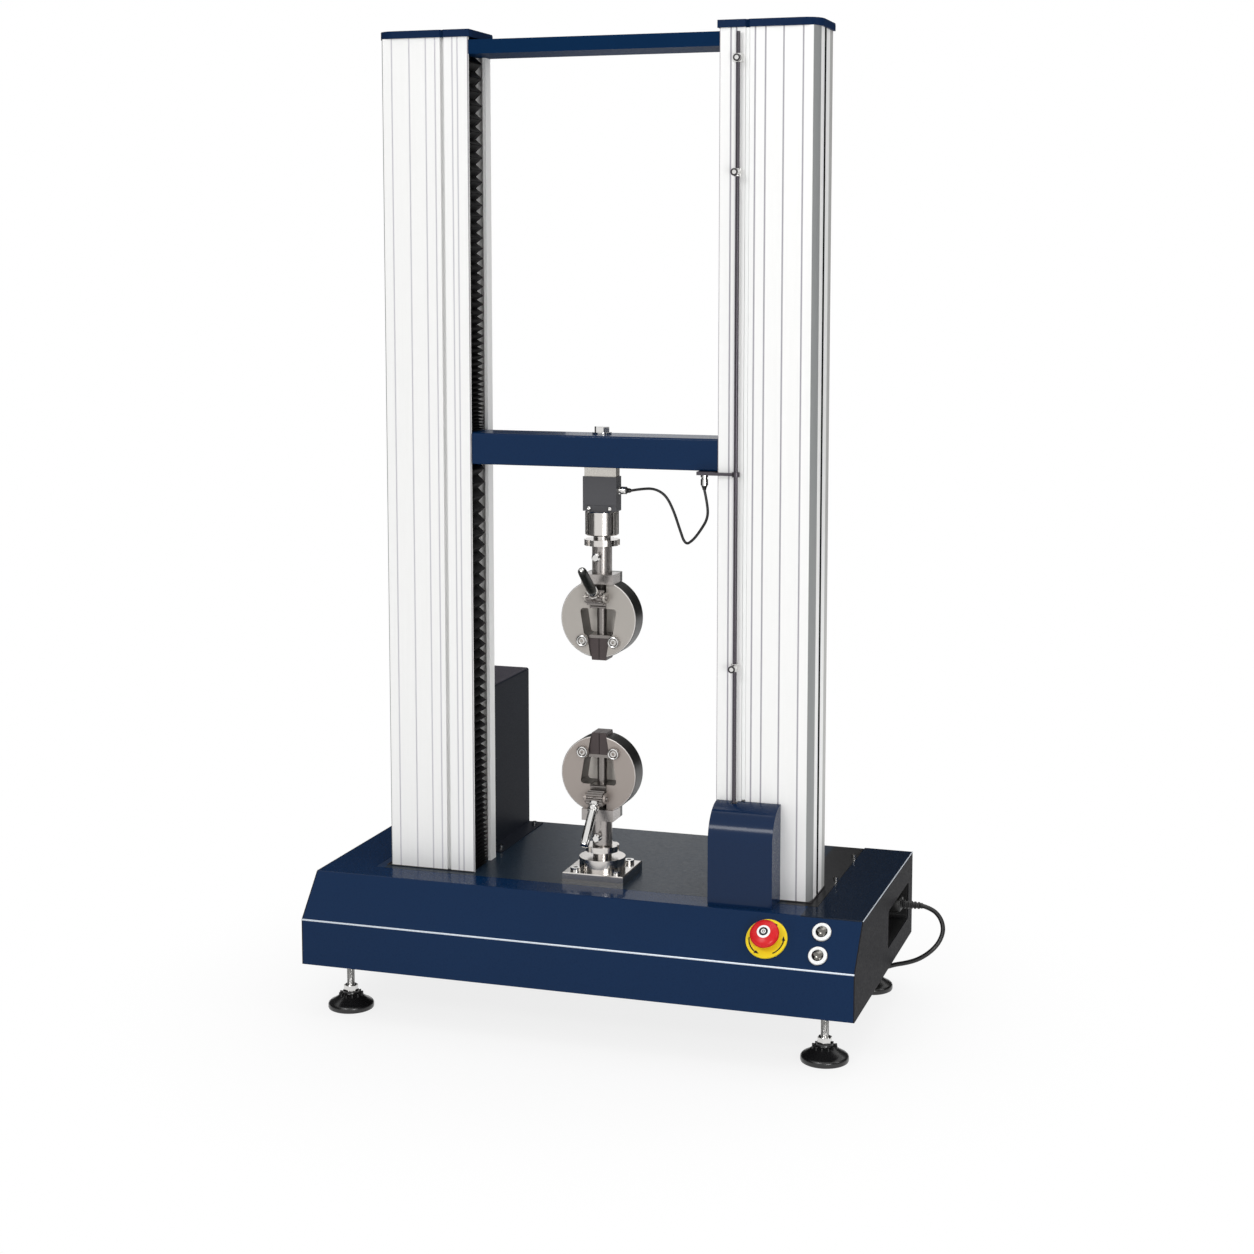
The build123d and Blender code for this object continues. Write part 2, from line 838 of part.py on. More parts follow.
def make_motor_box():
    """Folded cover over the motor, with a screwed foot along its right side."""
    depth = motor_box_back - motor_box_front
    middle_y = (motor_box_front + motor_box_back) / 2
    with BuildPart() as box:
        with BuildSketch(Plane.XY.offset(bed_z)):
            with Locations((motor_x, middle_y)):
                Rectangle(motor_box_width, depth)
        extrude(amount=motor_box_height)
        fillet(box.edges().filter_by(Axis.Z), radius=motor_box_edge_radius)
        fillet(box.edges().group_by(Axis.Z)[-1], radius=motor_box_edge_radius)
        offset(amount=-sheet, openings=box.faces().sort_by(Axis.Z)[0])
        with BuildSketch(Plane.XY.offset(bed_z)):
            with Locations((motor_flange_width / 2 - motor_box_side - sheet / 2, middle_y)):
                Rectangle(motor_flange_width + sheet, depth - 2 * motor_flange_end_margin)
        extrude(amount=sheet)
        with BuildSketch(Plane.XZ.offset(-motor_box_back)):
            with Locations((motor_x, bed_z + motor_box_height * motor_vent_share)):
                with GridLocations(vent_slot_length, vent_slot_pitch, 1, vent_slot_count):
                    SlotOverall(vent_slot_length, vent_slot_width)
        extrude(amount=2 * sheet, both=True, mode=Mode.SUBTRACT)
    return box.part


def make_hood():
    """Sheet hood over the limit switches, its top curving back to the column."""
    front = column_front - hood_depth
    bend_level = bed_z + hood_height - hood_depth
    with BuildPart() as hood:
        with BuildSketch(Plane.YZ.offset(column_in + hood_offset)):
            with BuildLine():
                Line((front, bed_z), (front, bend_level))
                RadiusArc((front, bend_level), (column_front, bed_z + hood_height), hood_depth)
                Polyline((column_front, bed_z + hood_height), (column_front, bed_z), (front, bed_z))
            make_face()
        extrude(amount=hood_width)
        open_faces = [hood.faces().sort_by(Axis.Y)[-1], hood.faces().sort_by(Axis.Z)[0]]
        offset(amount=-sheet, openings=open_faces)
        with BuildSketch(Plane.XY.offset(bed_z + hood_height)):
            with Locations((rod_x, (column_front + rod_y - hood_slot_width / 2) / 2)):
                Rectangle(hood_slot_width, column_front - rod_y + hood_slot_width / 2)
        extrude(amount=-hood_depth, mode=Mode.SUBTRACT)
    return hood.part


def tongue_block(low_z, height):
    """Crosshead blank: the beam between the columns and a tongue into each."""
    with BuildPart() as block:
        with BuildSketch(Plane.XY.offset(low_z)):
            with Locations((0, crosshead_front + crosshead_depth / 2)):
                Rectangle(2 * crosshead_half, crosshead_depth)
        extrude(amount=height)
        long_edges = block.edges().filter_by(Axis.X).group_by(Axis.Y)[0]
        fillet(long_edges, radius=crosshead_edge_radius)
        with BuildSketch(Plane.XY.offset(low_z)):
            with Locations((0, tongue_front + tongue_depth / 2)):
                Rectangle(2 * tongue_end, tongue_depth)
        extrude(amount=height)
    return block.part


def make_crosshead():
    """Moving crosshead, bored for the clamp bolt, ball nuts and guide bushes."""
    with BuildPart() as crosshead:
        add(tongue_block(crosshead_bottom, crosshead_height))
        with BuildSketch(Plane.XY.offset(crosshead_bottom)):
            with Locations((0, load_y)):
                Circle(bolt_shank_radius + free_gap)
            for side in (-screw_x, screw_x):
                with Locations((side, load_y)):
                    Circle(nut_radius)
                for shift in guide_offsets:
                    with Locations((side + shift, load_y)):
                        Circle(bush_radius)
        extrude(amount=crosshead_height, mode=Mode.SUBTRACT)
    return crosshead.part


def make_crosshead_bearings():
    """Flanged ball nuts and the linear bushes on the guide shafts."""
    pieces = []
    with BuildPart() as nut:
        with BuildSketch(Plane.XY.offset(crosshead_bottom - nut_flange_thickness)):
            Circle(nut_flange_radius)
        extrude(amount=nut_flange_thickness)
        with BuildSketch(Plane.XY.offset(crosshead_bottom)):
            Circle(nut_radius)
        extrude(amount=crosshead_height)
        with BuildSketch(Plane.XY.offset(crosshead_bottom - nut_flange_thickness)):
            Circle(screw_radius + shell_gap)
        extrude(amount=crosshead_height + nut_flange_thickness, mode=Mode.SUBTRACT)
    with BuildPart() as bush:
        with BuildSketch(Plane.XY.offset(crosshead_bottom)):
            Circle(bush_radius)
            Circle(guide_radius + running_gap, mode=Mode.SUBTRACT)
        extrude(amount=crosshead_height)
    for side in (-screw_x, screw_x):
        pieces.append(Pos(side, load_y, 0) * nut.part)
        for shift in guide_offsets:
            pieces.append(Pos(side + shift, load_y, 0) * bush.part)
    return Compound(children=pieces)


def make_clamp_bolt():
    """Hexagon bolt and washer that clamp the load cell under the crosshead."""
    head_z = crosshead_top + washer_thickness
    with BuildPart() as bolt:
        with BuildSketch(Plane.XY.offset(head_z)):
            with Locations((0, load_y)):
                RegularPolygon(bolt_across_flats / 2, 6, major_radius=False)
        extrude(amount=bolt_head_height)
        chamfer(bolt.edges().group_by(Axis.Z)[-1], length=line_depth)
        with BuildSketch(Plane.XY.offset(head_z)):
            with Locations((0, load_y)):
                Circle(bolt_shank_radius)
        extrude(amount=-washer_thickness - crosshead_height - bolt_reach)
    with BuildPart() as washer:
        with BuildSketch(Plane.XY.offset(crosshead_top)):
            with Locations((0, load_y)):
                Circle(washer_radius)
                Circle(bolt_shank_radius, mode=Mode.SUBTRACT)
        extrude(amount=washer_thickness)
    return Compound(children=[bolt.part, washer.part])


def fold_levels(low, high, count):
    """Heights of the folds, whose pitch grows by equal steps from the low end to the high end."""
    steps = [1 + (fold_growth - 1) * index / (count - 1) for index in range(count)]
    total = sum(steps)
    levels = [low]
    for step in steps:
        levels.append(levels[-1] + (high - low) * step / total)
    levels[-1] = high
    return levels


def make_bellows(low, high, count):
    """Pair of pleated strips that close the column slots."""
    levels = fold_levels(low, high, 2 * count)
    crest = column_in + bellows_inset
    valley = crest + bellows_room / 2
    face = [(crest if index % 2 else valley, level) for index, level in enumerate(levels)]
    back = [(x + bellows_thickness, level) for x, level in reversed(face)]
    start = column_front + column_wall + bellows_inset
    with BuildPart() as strip:
        with BuildSketch(Plane.XZ.offset(-start)):
            with BuildLine():
                Polyline(*face, *back, close=True)
            make_face()
        extrude(amount=-bellows_depth)
    return Compound(children=[strip.part, mirror(strip.part, about=Plane.YZ)])


def make_load_cell():
    """S-shaped load cell: a block with two opposed slots and a core bore."""
    top = crosshead_bottom
    bottom = top - cell_height
    with BuildPart() as cell:
        with BuildSketch(Plane.XZ.offset(-load_y)):
            with Locations((0, (top + bottom) / 2)):
                Rectangle(cell_width, cell_height)
            for share, side in zip(cell_slot_shares, (1, -1)):
                with Locations((side * cell_web_width, bottom + cell_height * share)):
                    Rectangle(cell_width, cell_slot_height, mode=Mode.SUBTRACT)
            with Locations((0, (top + bottom) / 2)):
                Circle(cell_core_radius, mode=Mode.SUBTRACT)
        extrude(amount=cell_thickness / 2, both=True)
        with BuildSketch(Plane.XY.offset(top)):
            with Locations((0, load_y)):
                Circle(bolt_shank_radius + stud_gap)
        extrude(amount=-bolt_reach - stud_gap, mode=Mode.SUBTRACT)
        fillet(cell.edges().filter_by(Axis.Y).group_by(Axis.Z)[-1], radius=line_width)
    return cell.part


def make_cell_cover():
    """Folded guard over the front, back and sides of the load cell, with its screws."""
    top = crosshead_bottom - cell_cover_drop
    bottom = crosshead_bottom - cell_height
    outer_y = cell_thickness / 2 + cell_cover_thickness
    with BuildPart() as cover:
        with BuildSketch(Plane.XY.offset(bottom)):
            with Locations((0, load_y)):
                Rectangle(cell_width + 2 * sheet, 2 * outer_y)
                Rectangle(cell_width, cell_thickness, mode=Mode.SUBTRACT)
        extrude(amount=top - bottom)
        with BuildSketch(Plane.XZ.offset(-(load_y - outer_y))):
            with Locations((0, bottom + cell_cover_step_rise)):
                Rectangle(cell_width + 2 * overrun, line_depth)
        extrude(amount=-line_depth, mode=Mode.SUBTRACT)
        with BuildSketch(Plane.XZ.offset(-(load_y - outer_y))):
            with Locations((0, bottom + cell_cover_screw_rise)):
                with GridLocations(cell_cover_screw_spacing, 0, 2, 1):
                    Circle(cell_cover_screw_radius)
        extrude(amount=line_width)
    return cover.part


def make_lock_ring(radius, low_z, bore):
    """Round lock nut with spanner notches."""
    with BuildPart() as ring:
        with BuildSketch(Plane.XY.offset(low_z)):
            with Locations((0, load_y)):
                Circle(radius)
                Circle(bore, mode=Mode.SUBTRACT)
                with PolarLocations(radius, lock_notch_count):
                    Rectangle(2 * lock_notch_depth, lock_notch_width, mode=Mode.SUBTRACT)
        extrude(amount=lock_ring_height)
    return ring.part


coupling_top = crosshead_bottom - cell_height
neck_bottom = coupling_top - coupling_height - coupling_neck_height
upper_lock_z = neck_bottom - lock_ring_height
upper_shank_top = upper_lock_z - lock_to_shank_gap
upper_yoke_top = upper_shank_top - shank_length
upper_grip_z = upper_yoke_top - upper_yoke_height - grip_flat_height
upper_pin_z = upper_yoke_top + shank_length * pin_height_share
flange_top = bed_z + flange_thickness
puck_top = flange_top + puck_height
lower_lock_z = puck_top + lower_neck_height
lower_shank_bottom = lower_lock_z + lock_ring_height + lock_to_shank_gap
lower_yoke_bottom = lower_shank_bottom + shank_length
lower_grip_z = lower_yoke_bottom + lower_yoke_height + grip_flat_height
lower_pin_z = lower_yoke_bottom - shank_length * pin_height_share


def make_cell_coupling():
    """Polished coupling under the load cell, its stud and the lock ring on it."""
    with BuildPart() as coupling:
        with BuildSketch(Plane.XY.offset(coupling_top - coupling_height)):
            with Locations((0, load_y)):
                Circle(coupling_radius)
        extrude(amount=coupling_height)
        chamfer(coupling.edges().filter_by(GeomType.CIRCLE), length=line_width)
        with BuildSketch(Plane.XY.offset(neck_bottom)):
            with Locations((0, load_y)):
                Circle(coupling_neck_radius)
        extrude(amount=coupling_neck_height)
        with BuildSketch(Plane.XY.offset(upper_yoke_top + line_width)):
            with Locations((0, load_y)):
                Circle(stud_radius)
        extrude(amount=neck_bottom - upper_yoke_top - line_width)
        cross_bore = Plane(origin=(0, load_y, upper_pin_z), x_dir=(1, 0, 0), z_dir=(0, 1, 0))
        with BuildSketch(cross_bore):
            Circle(pin_radius + running_gap)
        extrude(amount=shank_radius, both=True, mode=Mode.SUBTRACT)
    ring = make_lock_ring(lock_ring_radius, upper_lock_z, stud_radius)
    return Compound(children=[coupling.part, ring])


def make_mounting_flange():
    """Square flange with its puck, neck and stud, and the lock ring on it."""
    with BuildPart() as flange:
        with BuildSketch(Plane.XY.offset(bed_z)):
            with Locations((0, load_y)):
                Rectangle(flange_size, flange_size)
        extrude(amount=flange_thickness)
        chamfer(flange.edges().group_by(Axis.Z)[-1], length=line_width)
        for radius, start, height in (
            (puck_radius, flange_top, puck_height),
            (lower_neck_radius, puck_top, lower_neck_height),
            (stud_radius, lower_lock_z, lower_yoke_bottom - line_width - lower_lock_z),
        ):
            with BuildSketch(Plane.XY.offset(start)):
                with Locations((0, load_y)):
                    Circle(radius)
            extrude(amount=height)
        cross_bore = Plane(origin=(0, load_y, lower_pin_z), x_dir=(1, 0, 0), z_dir=(0, 1, 0))
        with BuildSketch(cross_bore):
            Circle(pin_radius + running_gap)
        extrude(amount=shank_radius, both=True, mode=Mode.SUBTRACT)
    ring = make_lock_ring(lower_lock_radius, lower_lock_z, stud_radius)
    return Compound(children=[flange.part, ring])


def flip(piece, centre_z, side):
    """Turn a grip piece upside down for the lower grip."""
    if side > 0:
        return piece
    return mirror(piece, about=Plane.XY.offset(centre_z))


def place_grip(piece, centre_z, side):
    """Move a piece drawn about the grip centre to its place in the machine."""
    return Pos(0, load_y, centre_z) * flip(piece, 0, side)


def wedge_half(distance):
    """Half width of the closed jaws at a distance below the grip centre."""
    return jaw_half_width - (distance - jaw_start) * tan(radians(wedge_angle))


def make_yoke(shank_z, block_z, block_height, pin_z):
    """Yoke block with its hollow shank, cross-bored for the pin."""
    with BuildPart() as yoke:
        with BuildSketch(Plane.XY.offset(block_z)):
            with Locations((0, load_y)):
                Rectangle(yoke_width, yoke_depth)
        extrude(amount=block_height)
        back_edges = yoke.edges().filter_by(Axis.Z).group_by(Axis.Y)[-1]
        fillet(back_edges, radius=yoke_edge_radius)
        with BuildSketch(Plane.XY.offset(shank_z)):
            with Locations((0, load_y)):
                Circle(shank_radius)
        extrude(amount=shank_length)
        with BuildSketch(Plane.XY.offset(shank_z)):
            with Locations((0, load_y)):
                Circle(stud_radius + stud_gap)
        extrude(amount=shank_length, mode=Mode.SUBTRACT)
        cross_bore = Plane(origin=(0, load_y, pin_z), x_dir=(1, 0, 0), z_dir=(0, 1, 0))
        with BuildSketch(cross_bore):
            Circle(pin_radius + running_gap)
        extrude(amount=2 * shank_radius, both=True, mode=Mode.SUBTRACT)
    return yoke.part


def make_pin(pin_z):
    """Cross pin with a round knob at the front."""
    head_back = load_y - shank_radius - pin_head_standoff
    tail_y = load_y + shank_radius + pin_tail
    with BuildPart() as pin:
        with BuildSketch(Plane(origin=(0, tail_y, pin_z), x_dir=(1, 0, 0), z_dir=(0, -1, 0))):
            Circle(pin_radius)
        extrude(amount=tail_y - head_back)
        with BuildSketch(Plane(origin=(0, head_back, pin_z), x_dir=(1, 0, 0), z_dir=(0, -1, 0))):
            Circle(pin_head_radius)
        extrude(amount=pin_head_length)
        chamfer(pin.edges().group_by(Axis.Y)[0], length=pin_head_edge)
    return pin.part


def window_outline():
    """Trapezoid window of the grip, wide end away from the specimen."""
    with BuildSketch(Plane.XZ) as window:
        with BuildLine():
            Polyline(
                (-window_top_half, window_top),
                (window_top_half, window_top),
                (window_bottom_half, -window_bottom),
                (-window_bottom_half, -window_bottom),
                close=True,
            )
        make_face()
        fillet(window.vertices(), radius=window_corner_radius)
    return window.sketch


def pocket_outline():
    """Tapered pocket that the jaws slide in, open at the specimen end."""
    end = grip_radius + overrun
    start = window_bottom - overrun
    with BuildSketch(Plane.XZ) as pocket:
        with BuildLine():
            Polyline(
                (-wedge_half(start) - pocket_gap, -start),
                (wedge_half(start) + pocket_gap, -start),
                (wedge_half(end) + pocket_gap, -end),
                (-wedge_half(end) - pocket_gap, -end),
                close=True,
            )
        make_face()
    return pocket.sketch


def make_grip_body(centre_z, side):
    """Round grip body with window, jaw pocket, rack groove, lever ears and retainer screws."""
    front = -grip_thickness / 2
    pinion_y = front - pinion_offset
    ear_start = rack_half_width + ear_gap
    with BuildPart() as body:
        with BuildSketch(Plane.XZ):
            Circle(grip_radius)
            with Locations((0, grip_flat_height + grip_radius / 2)):
                Rectangle(2 * grip_radius, grip_radius, mode=Mode.SUBTRACT)
        extrude(amount=grip_thickness / 2, both=True)
        chamfer(body.edges().filter_by(GeomType.CIRCLE), length=line_width)
        extrude(window_outline(), amount=grip_thickness, both=True, mode=Mode.SUBTRACT)
        extrude(pocket_outline(), amount=grip_thickness, both=True, mode=Mode.SUBTRACT)
        with BuildSketch(Plane.XY):
            Circle(rod_radius + rod_gap)
            with Locations((0, front + rack_depth / 2)):
                Rectangle(2 * (rack_half_width + rack_gap), rack_depth)
        extrude(amount=grip_flat_height, mode=Mode.SUBTRACT)
        for direction in (-1, 1):
            ear_plane = Plane.YZ.offset(direction * (ear_start + ear_thickness / 2))
            with BuildSketch(ear_plane):
                with Locations((pinion_y, pinion_height)):
                    Circle(ear_radius)
                with Locations(((front + pinion_y) / 2, pinion_height)):
                    Rectangle(pinion_offset, 2 * ear_radius)
                with Locations((pinion_y, pinion_height)):
                    Circle(axle_radius + running_gap, mode=Mode.SUBTRACT)
            extrude(amount=ear_thickness / 2, both=True)
    pieces = [place_grip(body.part, centre_z, side)]
    for direction in (-1, 1):
        with BuildPart() as screw:
            with BuildSketch(Plane.XZ.offset(-front)):
                with Locations((direction * retainer_offset, -retainer_drop)):
                    Circle(retainer_radius)
            extrude(amount=retainer_height)
            chamfer(screw.edges().group_by(Axis.Y)[0], length=line_depth)
            with BuildSketch(Plane.XZ.offset(-front + retainer_height)):
                with Locations((direction * retainer_offset, -retainer_drop)):
                    Rectangle(
                        2 * retainer_radius,
                        retainer_slot_width,
                        rotation=direction * retainer_slot_angle,
                    )
            extrude(amount=-retainer_slot_depth, mode=Mode.SUBTRACT)
        pieces.append(place_grip(screw.part, centre_z, side))
    return Compound(children=pieces)


tooth_pitch = pi * tooth_module
tooth_width = (tooth_pitch - tooth_backlash) / 2
pitch_radius = tooth_module * pinion_teeth / 2
tooth_addendum = tooth_module * tooth_addendum_share
tooth_dedendum = tooth_module * tooth_dedendum_share


def make_slider(centre_z, side):
    """Rack, pull rod and jaw carrier that the lever raises and lowers."""
    front = -grip_thickness / 2
    pitch_y = front - pinion_offset + pitch_radius
    root_y = pitch_y + tooth_dedendum
    flank = tooth_addendum * tan(radians(tooth_angle))
    drop = tooth_dedendum * tan(radians(tooth_angle))
    half = tooth_width / 2
    first = pinion_height - (rack_tooth_count + 1) * tooth_pitch / 2
    with BuildPart() as slider:
        with BuildSketch(Plane.XY.offset(rack_bottom)):
            with Locations((0, (root_y + front + rack_depth - rack_gap) / 2)):
                Rectangle(2 * rack_half_width, front + rack_depth - rack_gap - root_y)
        extrude(amount=rack_top - rack_bottom)
        with BuildSketch(Plane.YZ):
            for index in range(rack_tooth_count):
                level = first + index * tooth_pitch
                if rack_bottom + half < level < rack_top - half:
                    with BuildLine():
                        Polyline(
                            (root_y, level - half - drop),
                            (pitch_y - tooth_addendum, level - half + flank),
                            (pitch_y - tooth_addendum, level + half - flank),
                            (root_y, level + half + drop),
                            close=True,
                        )
                    make_face()
        extrude(amount=rack_half_width, both=True)
        with BuildSketch(Plane.XY.offset(-jaw_start + carrier_gap)):
            Circle(rod_radius)
        extrude(amount=rack_bottom + jaw_start)
        with BuildSketch(Plane.XY.offset(-jaw_start + carrier_gap)):
            Rectangle(2 * jaw_half_width - 2 * pocket_gap, jaw_depth)
        extrude(amount=carrier_height)
    return place_grip(slider.part, centre_z, side)


def make_handle():
    """Ferrule and handle of a grip lever, standing upright at the origin."""
    shoulder = lever_length - lever_tip_radius
    end = lever_radius - lever_tip_radius
    with BuildPart() as handle:
        with BuildSketch(Plane.XZ):
            with BuildLine():
                Polyline(
                    (0, 0),
                    (lever_ferrule_radius, 0),
                    (lever_ferrule_radius, lever_ferrule_length),
                    (lever_radius, lever_ferrule_length),
                    (lever_radius, shoulder),
                )
                RadiusArc((lever_radius, shoulder), (end, lever_length), -lever_tip_radius)
                Polyline((end, lever_length), (0, lever_length), (0, 0))
            make_face()
        revolve(axis=Axis.Z)
    return handle.part


def make_lever(centre_z, side, lean):
    """Operating lever: toothed hub and axle, ferrule, handle and rounded tip."""
    front = -grip_thickness / 2
    pinion_y = front - pinion_offset
    root_radius = pitch_radius - tooth_dedendum
    inner_radius = root_radius - line_depth
    tip_radius = pitch_radius + tooth_addendum
    root_width = tooth_width + 2 * (pitch_radius - inner_radius) * tan(radians(tooth_angle))
    hub_plane = Plane.YZ.offset(-rack_half_width)
    with BuildPart() as lever:
        with BuildSketch(hub_plane):
            with Locations((pinion_y, pinion_height)):
                Circle(root_radius)
                with PolarLocations((inner_radius + tip_radius) / 2, pinion_teeth):
                    Trapezoid(root_width, tip_radius - inner_radius, 90 - tooth_angle, rotation=-90)
        extrude(amount=2 * rack_half_width)
        with BuildSketch(Plane.YZ):
            with Locations((pinion_y, pinion_height)):
                Circle(axle_radius)
        extrude(amount=rack_half_width + ear_gap + ear_thickness + axle_overhang, both=True)
        with Locations((0, pinion_y, pinion_height)):
            add(make_handle(), rotation=(lean, 0, 0))
    return place_grip(lever.part, centre_z, side)


def make_jaw(centre_z, side, direction):
    """Wedge jaw with a serrated face; its back runs along the pocket wall."""
    face_x = jaw_gap / 2
    count = int((jaw_reach - jaw_start) / jaw_tooth_pitch)
    points = [(face_x, -jaw_start)]
    for index in range(count):
        level = -jaw_start - index * jaw_tooth_pitch
        points.append((face_x + jaw_tooth_depth, level - jaw_tooth_pitch / 2))
        points.append((face_x, level - jaw_tooth_pitch))
    points.append((face_x, -jaw_reach))
    points.append((wedge_half(jaw_reach), -jaw_reach))
    points.append((wedge_half(jaw_start), -jaw_start))
    with BuildPart() as jaw:
        with BuildSketch(Plane.XZ):
            with BuildLine():
                Polyline(*points, close=True)
            make_face()
        extrude(amount=jaw_depth / 2, both=True)
    piece = jaw.part if direction > 0 else mirror(jaw.part, about=Plane.YZ)
    return place_grip(piece, centre_z, side)


def make_bed_fasteners():
    """Socket screws along the bed and the motor cover, and the flange bolts."""
    spots = [(land_half - bed_screw_inset, y, bed_z) for y in bed_screw_ys]
    foot_x_line = motor_flange_width / 2 - motor_box_side + bed_screw_inset
    spots += [(foot_x_line, motor_box_front + motor_flange_width, bed_z + sheet)]
    spots += [(foot_x_line, motor_box_back - motor_flange_width, bed_z + sheet)]
    with BuildPart() as small:
        Cylinder(cap_screw_radius, cap_screw_height, align=(Align.CENTER, Align.CENTER, Align.MIN))
        with BuildSketch(Plane.XY.offset(cap_screw_height)):
            RegularPolygon(cap_screw_radius / 2, 6)
        extrude(amount=-cap_screw_height / 2, mode=Mode.SUBTRACT)
    with BuildPart() as large:
        with BuildSketch(Plane.XY):
            Circle(flange_bolt_head_radius)
        extrude(amount=flange_bolt_head_height)
        with BuildSketch(Plane.XY.offset(flange_bolt_head_height)):
            RegularPolygon(flange_bolt_socket_radius, 6)
        extrude(amount=-flange_bolt_head_height / 2, mode=Mode.SUBTRACT)
    pieces = [Pos(*spot) * small.part for spot in spots]
    half = flange_bolt_spacing / 2
    for x in (-half, half):
        for y in (-half, half):
            pieces.append(Pos(x, load_y + y, flange_top) * large.part)
    return Compound(children=pieces)


def make_limit_fittings():
    """Rod guides on the column front and the two switches under the hood."""
    pieces = []
    top_z = column_top - upper_guide_drop
    low_z = bed_z + lower_guide_rise
    reach = column_front - rod_y + stop_radius
    switch_x = rod_x + switch_size / 2 + 2 * limit_rod_radius
    for level in (top_z, low_z):
        with BuildPart() as guide:
            with BuildSketch(Plane.XY.offset(level - rod_guide_height / 2)):
                with Locations((rod_x, column_front - reach / 2)):
                    Rectangle(2 * stop_radius, reach)
                with Locations((rod_x, rod_y)):
                    Circle(limit_rod_radius + guide_bore_gap, mode=Mode.SUBTRACT)
            extrude(amount=rod_guide_height)
            with BuildSketch(Plane.XZ.offset(-(column_front - reach))):
                with Locations((rod_x, level)):
                    Circle(stop_screw_radius)
            extrude(amount=guide_screw_height)
        pieces.append(guide.part)
    for direction in (-1, 1):
        middle = bed_z + actuator_rise + direction * (actuator_height / 2 + switch_gap + switch_size / 2)
        with BuildPart() as switch:
            with BuildSketch(Plane.XY.offset(middle - switch_size / 2)):
                with Locations((switch_x, column_front - switch_depth / 2)):
                    Rectangle(switch_size, switch_depth)
            extrude(amount=switch_size)
        pieces.append(switch.part)
    return Compound(children=pieces)


def make_limit_rod():
    """Limit rod with the collar that works the switches."""
    foot = bed_z + limit_rod_foot
    top = column_top - limit_rod_top_gap
    with BuildPart() as rod:
        with BuildSketch(Plane.XY.offset(foot)):
            with Locations((rod_x, rod_y)):
                Circle(limit_rod_radius)
        extrude(amount=top - foot)
        with BuildSketch(Plane.XY.offset(bed_z + actuator_rise - actuator_height / 2)):
            with Locations((rod_x, rod_y)):
                Circle(actuator_radius)
        extrude(amount=actuator_height)
    return rod.part


def make_stop(level):
    """Limit stop: collar on the rod with a thumb screw at the front."""
    with BuildPart() as stop:
        with BuildSketch(Plane.XY.offset(level - stop_height / 2)):
            with Locations((rod_x, rod_y)):
                Circle(stop_radius)
                Circle(limit_rod_radius + stop_bore_gap, mode=Mode.SUBTRACT)
        extrude(amount=stop_height)
        with BuildSketch(Plane.XZ.offset(limit_rod_radius + stop_bore_gap - rod_y)):
            with Locations((rod_x, level)):
                Circle(stop_screw_radius)
        extrude(amount=stop_radius + stop_screw_length)
        with BuildSketch(Plane.XY.offset(level - stop_height / 2)):
            with Locations((rod_x, rod_y)):
                Circle(limit_rod_radius + stop_bore_gap)
        extrude(amount=stop_height, mode=Mode.SUBTRACT)
    return stop.part


def make_striker():
    """Bracket under the crosshead whose ring runs on the limit rod."""
    plate_x = crosshead_half - striker_plate_inset - striker_plate_width / 2
    plate_front = rod_y - striker_bar_depth / 2
    bar_z = crosshead_bottom - striker_plate_thickness
    with BuildPart() as striker:
        with BuildSketch(Plane.XY.offset(bar_z)):
            with Locations((plate_x, plate_front + striker_plate_depth / 2)):
                Rectangle(striker_plate_width, striker_plate_depth)
        extrude(amount=striker_plate_thickness)
        with BuildSketch(Plane.XY.offset(bar_z)):
            with Locations(((plate_x + rod_x) / 2, rod_y)):
                Rectangle(rod_x - plate_x, striker_bar_depth)
        extrude(amount=striker_bar_height)
        with BuildSketch(Plane.XY.offset(bar_z - (striker_ring_height - striker_bar_height) / 2)):
            with Locations((rod_x, rod_y)):
                Circle(striker_ring_radius)
        extrude(amount=striker_ring_height)
        with BuildSketch(Plane.XY.offset(bar_z - striker_ring_height)):
            with Locations((rod_x, rod_y)):
                Circle(limit_rod_radius + striker_ring_gap)
        extrude(amount=2 * striker_ring_height + overrun, mode=Mode.SUBTRACT)
    return striker.part


def make_estop_base():
    """Round legend disc of the emergency stop."""
    with BuildPart() as disc:
        with BuildSketch(estop_plane):
            Circle(estop_disc_radius)
            Circle(estop_collar_radius, mode=Mode.SUBTRACT)
        extrude(amount=estop_disc_thickness)
    with BuildPart() as collar:
        with BuildSketch(estop_plane.offset(-estop_collar_height)):
            Circle(estop_collar_radius)
            Circle(estop_stem_radius + control_gap, mode=Mode.SUBTRACT)
        extrude(amount=estop_collar_height + estop_disc_thickness)
    return Compound(children=[disc.part, collar.part])


def make_estop_stem():
    """Plunger of the emergency stop."""
    with BuildPart() as stem:
        with BuildSketch(estop_plane.offset(-estop_collar_height)):
            Circle(estop_stem_radius)
        extrude(amount=estop_collar_height + estop_stem_top)
    return stem.part


def make_estop_head():
    """Mushroom head, hollow over the plunger, with a domed top."""
    rim_top = estop_head_bottom + estop_head_rim
    crown = rim_top + estop_head_dome
    dome_radius = (estop_head_radius**2 + estop_head_dome**2) / (2 * estop_head_dome)
    with BuildPart() as head:
        with BuildSketch(Plane.XZ):
            with BuildLine():
                Polyline(
                    (0, crown),
                    (0, estop_head_bottom),
                    (estop_head_radius - line_width, estop_head_bottom),
                    (estop_head_radius, estop_head_bottom + line_width),
                    (estop_head_radius, rim_top),
                )
                RadiusArc((estop_head_radius, rim_top), (0, crown), -dome_radius)
            make_face()
        revolve(axis=Axis.Z)
        with BuildSketch(Plane.XY.offset(estop_head_bottom)):
            Circle(estop_stem_radius + running_gap)
        extrude(amount=estop_stem_top - estop_head_bottom + running_gap, mode=Mode.SUBTRACT)
    return estop_plane.location * head.part


